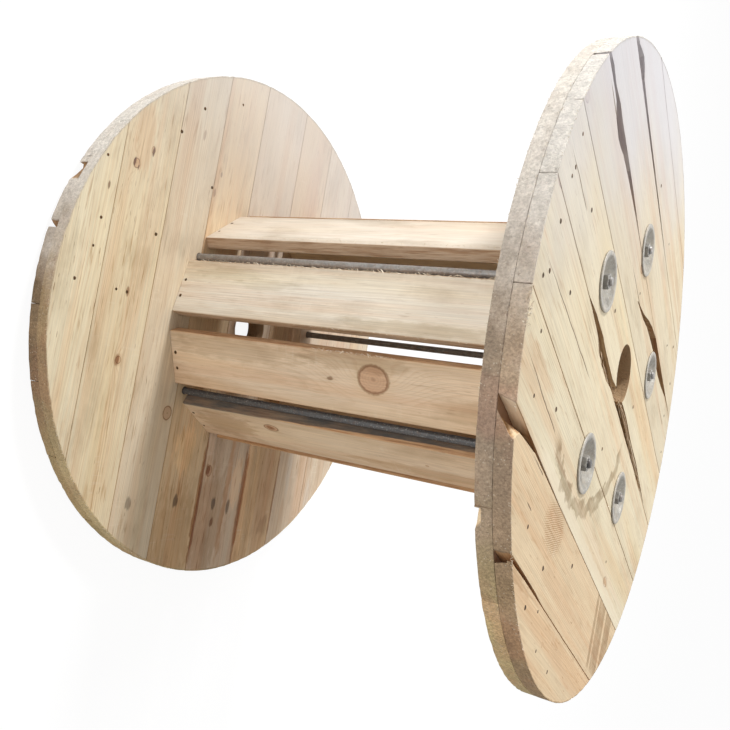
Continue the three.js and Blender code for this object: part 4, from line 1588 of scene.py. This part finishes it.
pale_fibre = torn_fibre("rubbed_pine_fibre", (0.60, 0.47, 0.33), (0.88, 0.79, 0.64))
fuzzy_edges = {
    "stave_3_edge": (
        "stave_wood", upright(-0.1890, -0.2070, 0.09, 0.3, 0.5, 0.7, 0.86),
        {"Count": 170, "Longest": 0.016, "Tilt": 0.8, "Spread": 0.002, "Width": 0.0018}),
    "stave_3_lower_edge": (
        "stave_wood", upright(-0.082, -0.2677, 0.35, 0.6, 0.86),
        {"Count": 40, "Longest": 0.009, "Tilt": 0.7}),
    "stave_4_edge": (
        "stave_wood", upright(-0.0405, -0.277, 0.44, 0.50, 0.56, 0.62),
        {"Count": 45, "Longest": 0.013, "Tilt": 0.9, "Width": 0.0016}),
    "stave_2_edge": (
        "stave_wood", upright(-0.2395, -0.143, 0.10, 0.4, 0.8),
        {"Count": 60, "Longest": 0.009, "Tilt": 0.7}),
    "upper_face_edge": (
        "flange_face_wood", round_edge(UPPER_FACE - 0.4 * MM, (212, 263), (277, 300)),
        {"Count": 110, "Longest": 0.007, "Tilt": 1.2, "Width": 0.0007}),
    "upper_face_tuft": (
        "flange_face_wood", round_edge(UPPER_FACE, (248, 253)),
        {"Count": 45, "Longest": 0.012, "Tilt": 1.5, "Spread": 0.004, "Width": 0.0016}),
    "upper_winding_edge": (
        "flange_wood", round_edge(UPPER_WINDING_EDGE, (205, 263)), {"Count": 110, "Tilt": 1.2}),
    "lower_winding_edge": (
        "flange_wood", round_edge(LOWER_WINDING_EDGE, (195, 263), (277, 330)),
        {"Count": 170, "Tilt": 1.2}),
    "rim_joint": (
        "flange_wood", round_edge(UPPER_FACE - 25 * MM, (215, 258)),
        {"Count": 70, "Longest": 0.009, "Tilt": 0.6, "Spread": 0.0025}),
}
lint = {"Shortest": 0.002, "Longest": 0.006, "Width": 0.0010, "Spread": 0.0012}
for number, (name, (slot, lines, sizes)) in enumerate(fuzzy_edges.items(), start=21):
    grow_lines(name + "_fibres", lines, {**lint, **sizes, "Seed": number}, pale_fibre)


# The studio round the drum: a wide matt floor that fades into an even white background, three soft
# lamps and the camera. The floor and the background look brighter than the light they give off.
def seen_directly(tree):
    """1 for rays that look, from the camera, a mirror or glass, and 0 for those that carry light."""
    rays = put(tree, "ShaderNodeLightPath", {}).outputs
    return maths(tree, "MAXIMUM", rays["Is Camera Ray"],
                 maths(tree, "MAXIMUM", rays["Is Glossy Ray"], rays["Is Transmission Ray"]))


FLOOR = 30.0                  # half the floor's width
floor_mesh = bpy.data.meshes.new("studio_floor")
floor_mesh.from_pydata([(-FLOOR, -FLOOR, 0), (FLOOR, -FLOOR, 0), (FLOOR, FLOOR, 0), (-FLOOR, FLOOR, 0)],
                       [], [(0, 1, 2, 3)])
floor_paint, tree, matt = blank_material("pale_floor")
matt.inputs["Base Color"].default_value = (0.86, 0.86, 0.86, 1)
matt.inputs["Roughness"].default_value = 0.9
glow = put(tree, "ShaderNodeEmission", {"Color": (1, 1, 1), "Strength": 1.07})
both = put(tree, "ShaderNodeMixShader",
           {0: times(tree, seen_directly(tree), 0.86), 1: matt.outputs[0], 2: glow.outputs[0]})
tree.links.new(both.outputs[0], tree.nodes["Material Output"].inputs["Surface"])
floor_mesh.materials.append(floor_paint)
floor = new_object("studio_floor", floor_mesh)

world = bpy.data.worlds.new("studio")
bpy.context.scene.world = world
world.use_nodes = True
tree = world.node_tree
backdrop = tree.nodes["Background"]
tree.links.new(plus_times(tree, 0.40, seen_directly(tree), 0.60), backdrop.inputs["Strength"])
backdrop.inputs["Color"].default_value = (1.0, 1.0, 1.0, 1)


def soft_lamp(name, place, aim_height, size, watts):
    """A square lamp that looks at a point on the drum's axis."""
    lamp = bpy.data.lights.new(name, "AREA")
    lamp.shape = "SQUARE"
    lamp.size = size
    lamp.energy = watts
    holder = new_object(name, lamp)
    holder.location = place
    holder.rotation_mode = "QUATERNION"
    holder.rotation_quaternion = (Vector((0, 0, aim_height)) - Vector(place)).to_track_quat("-Z", "Y")


soft_lamp("key_lamp", (-4.6, 1.5, 3.15), 0.45, 0.8, 278)
soft_lamp("top_lamp", (-0.2, 1.75, 4.1), 0.6, 0.9, 50)
soft_lamp("front_lamp", (-1.2, -4.0, 0.5), 0.5, 1.6, 60)

eye = bpy.data.cameras.new("camera")
eye.lens = 38.67
eye.sensor_width = 36
eye.shift_x = 0.0285
eye.shift_y = -0.0223
camera = new_object("camera", eye)
right = Vector((0, 0.5322, 0.8466)).normalized()
forward = Vector((0.2000, 0.8295, -0.5214)).normalized()
turned = Matrix((right, right.cross(forward), -forward)).transposed().to_4x4()
camera.matrix_world = Matrix.Translation((-0.3446, -1.5094, 1.2870)) @ turned
bpy.context.scene.camera = camera
bpy.context.scene.view_settings.view_transform = "Standard"
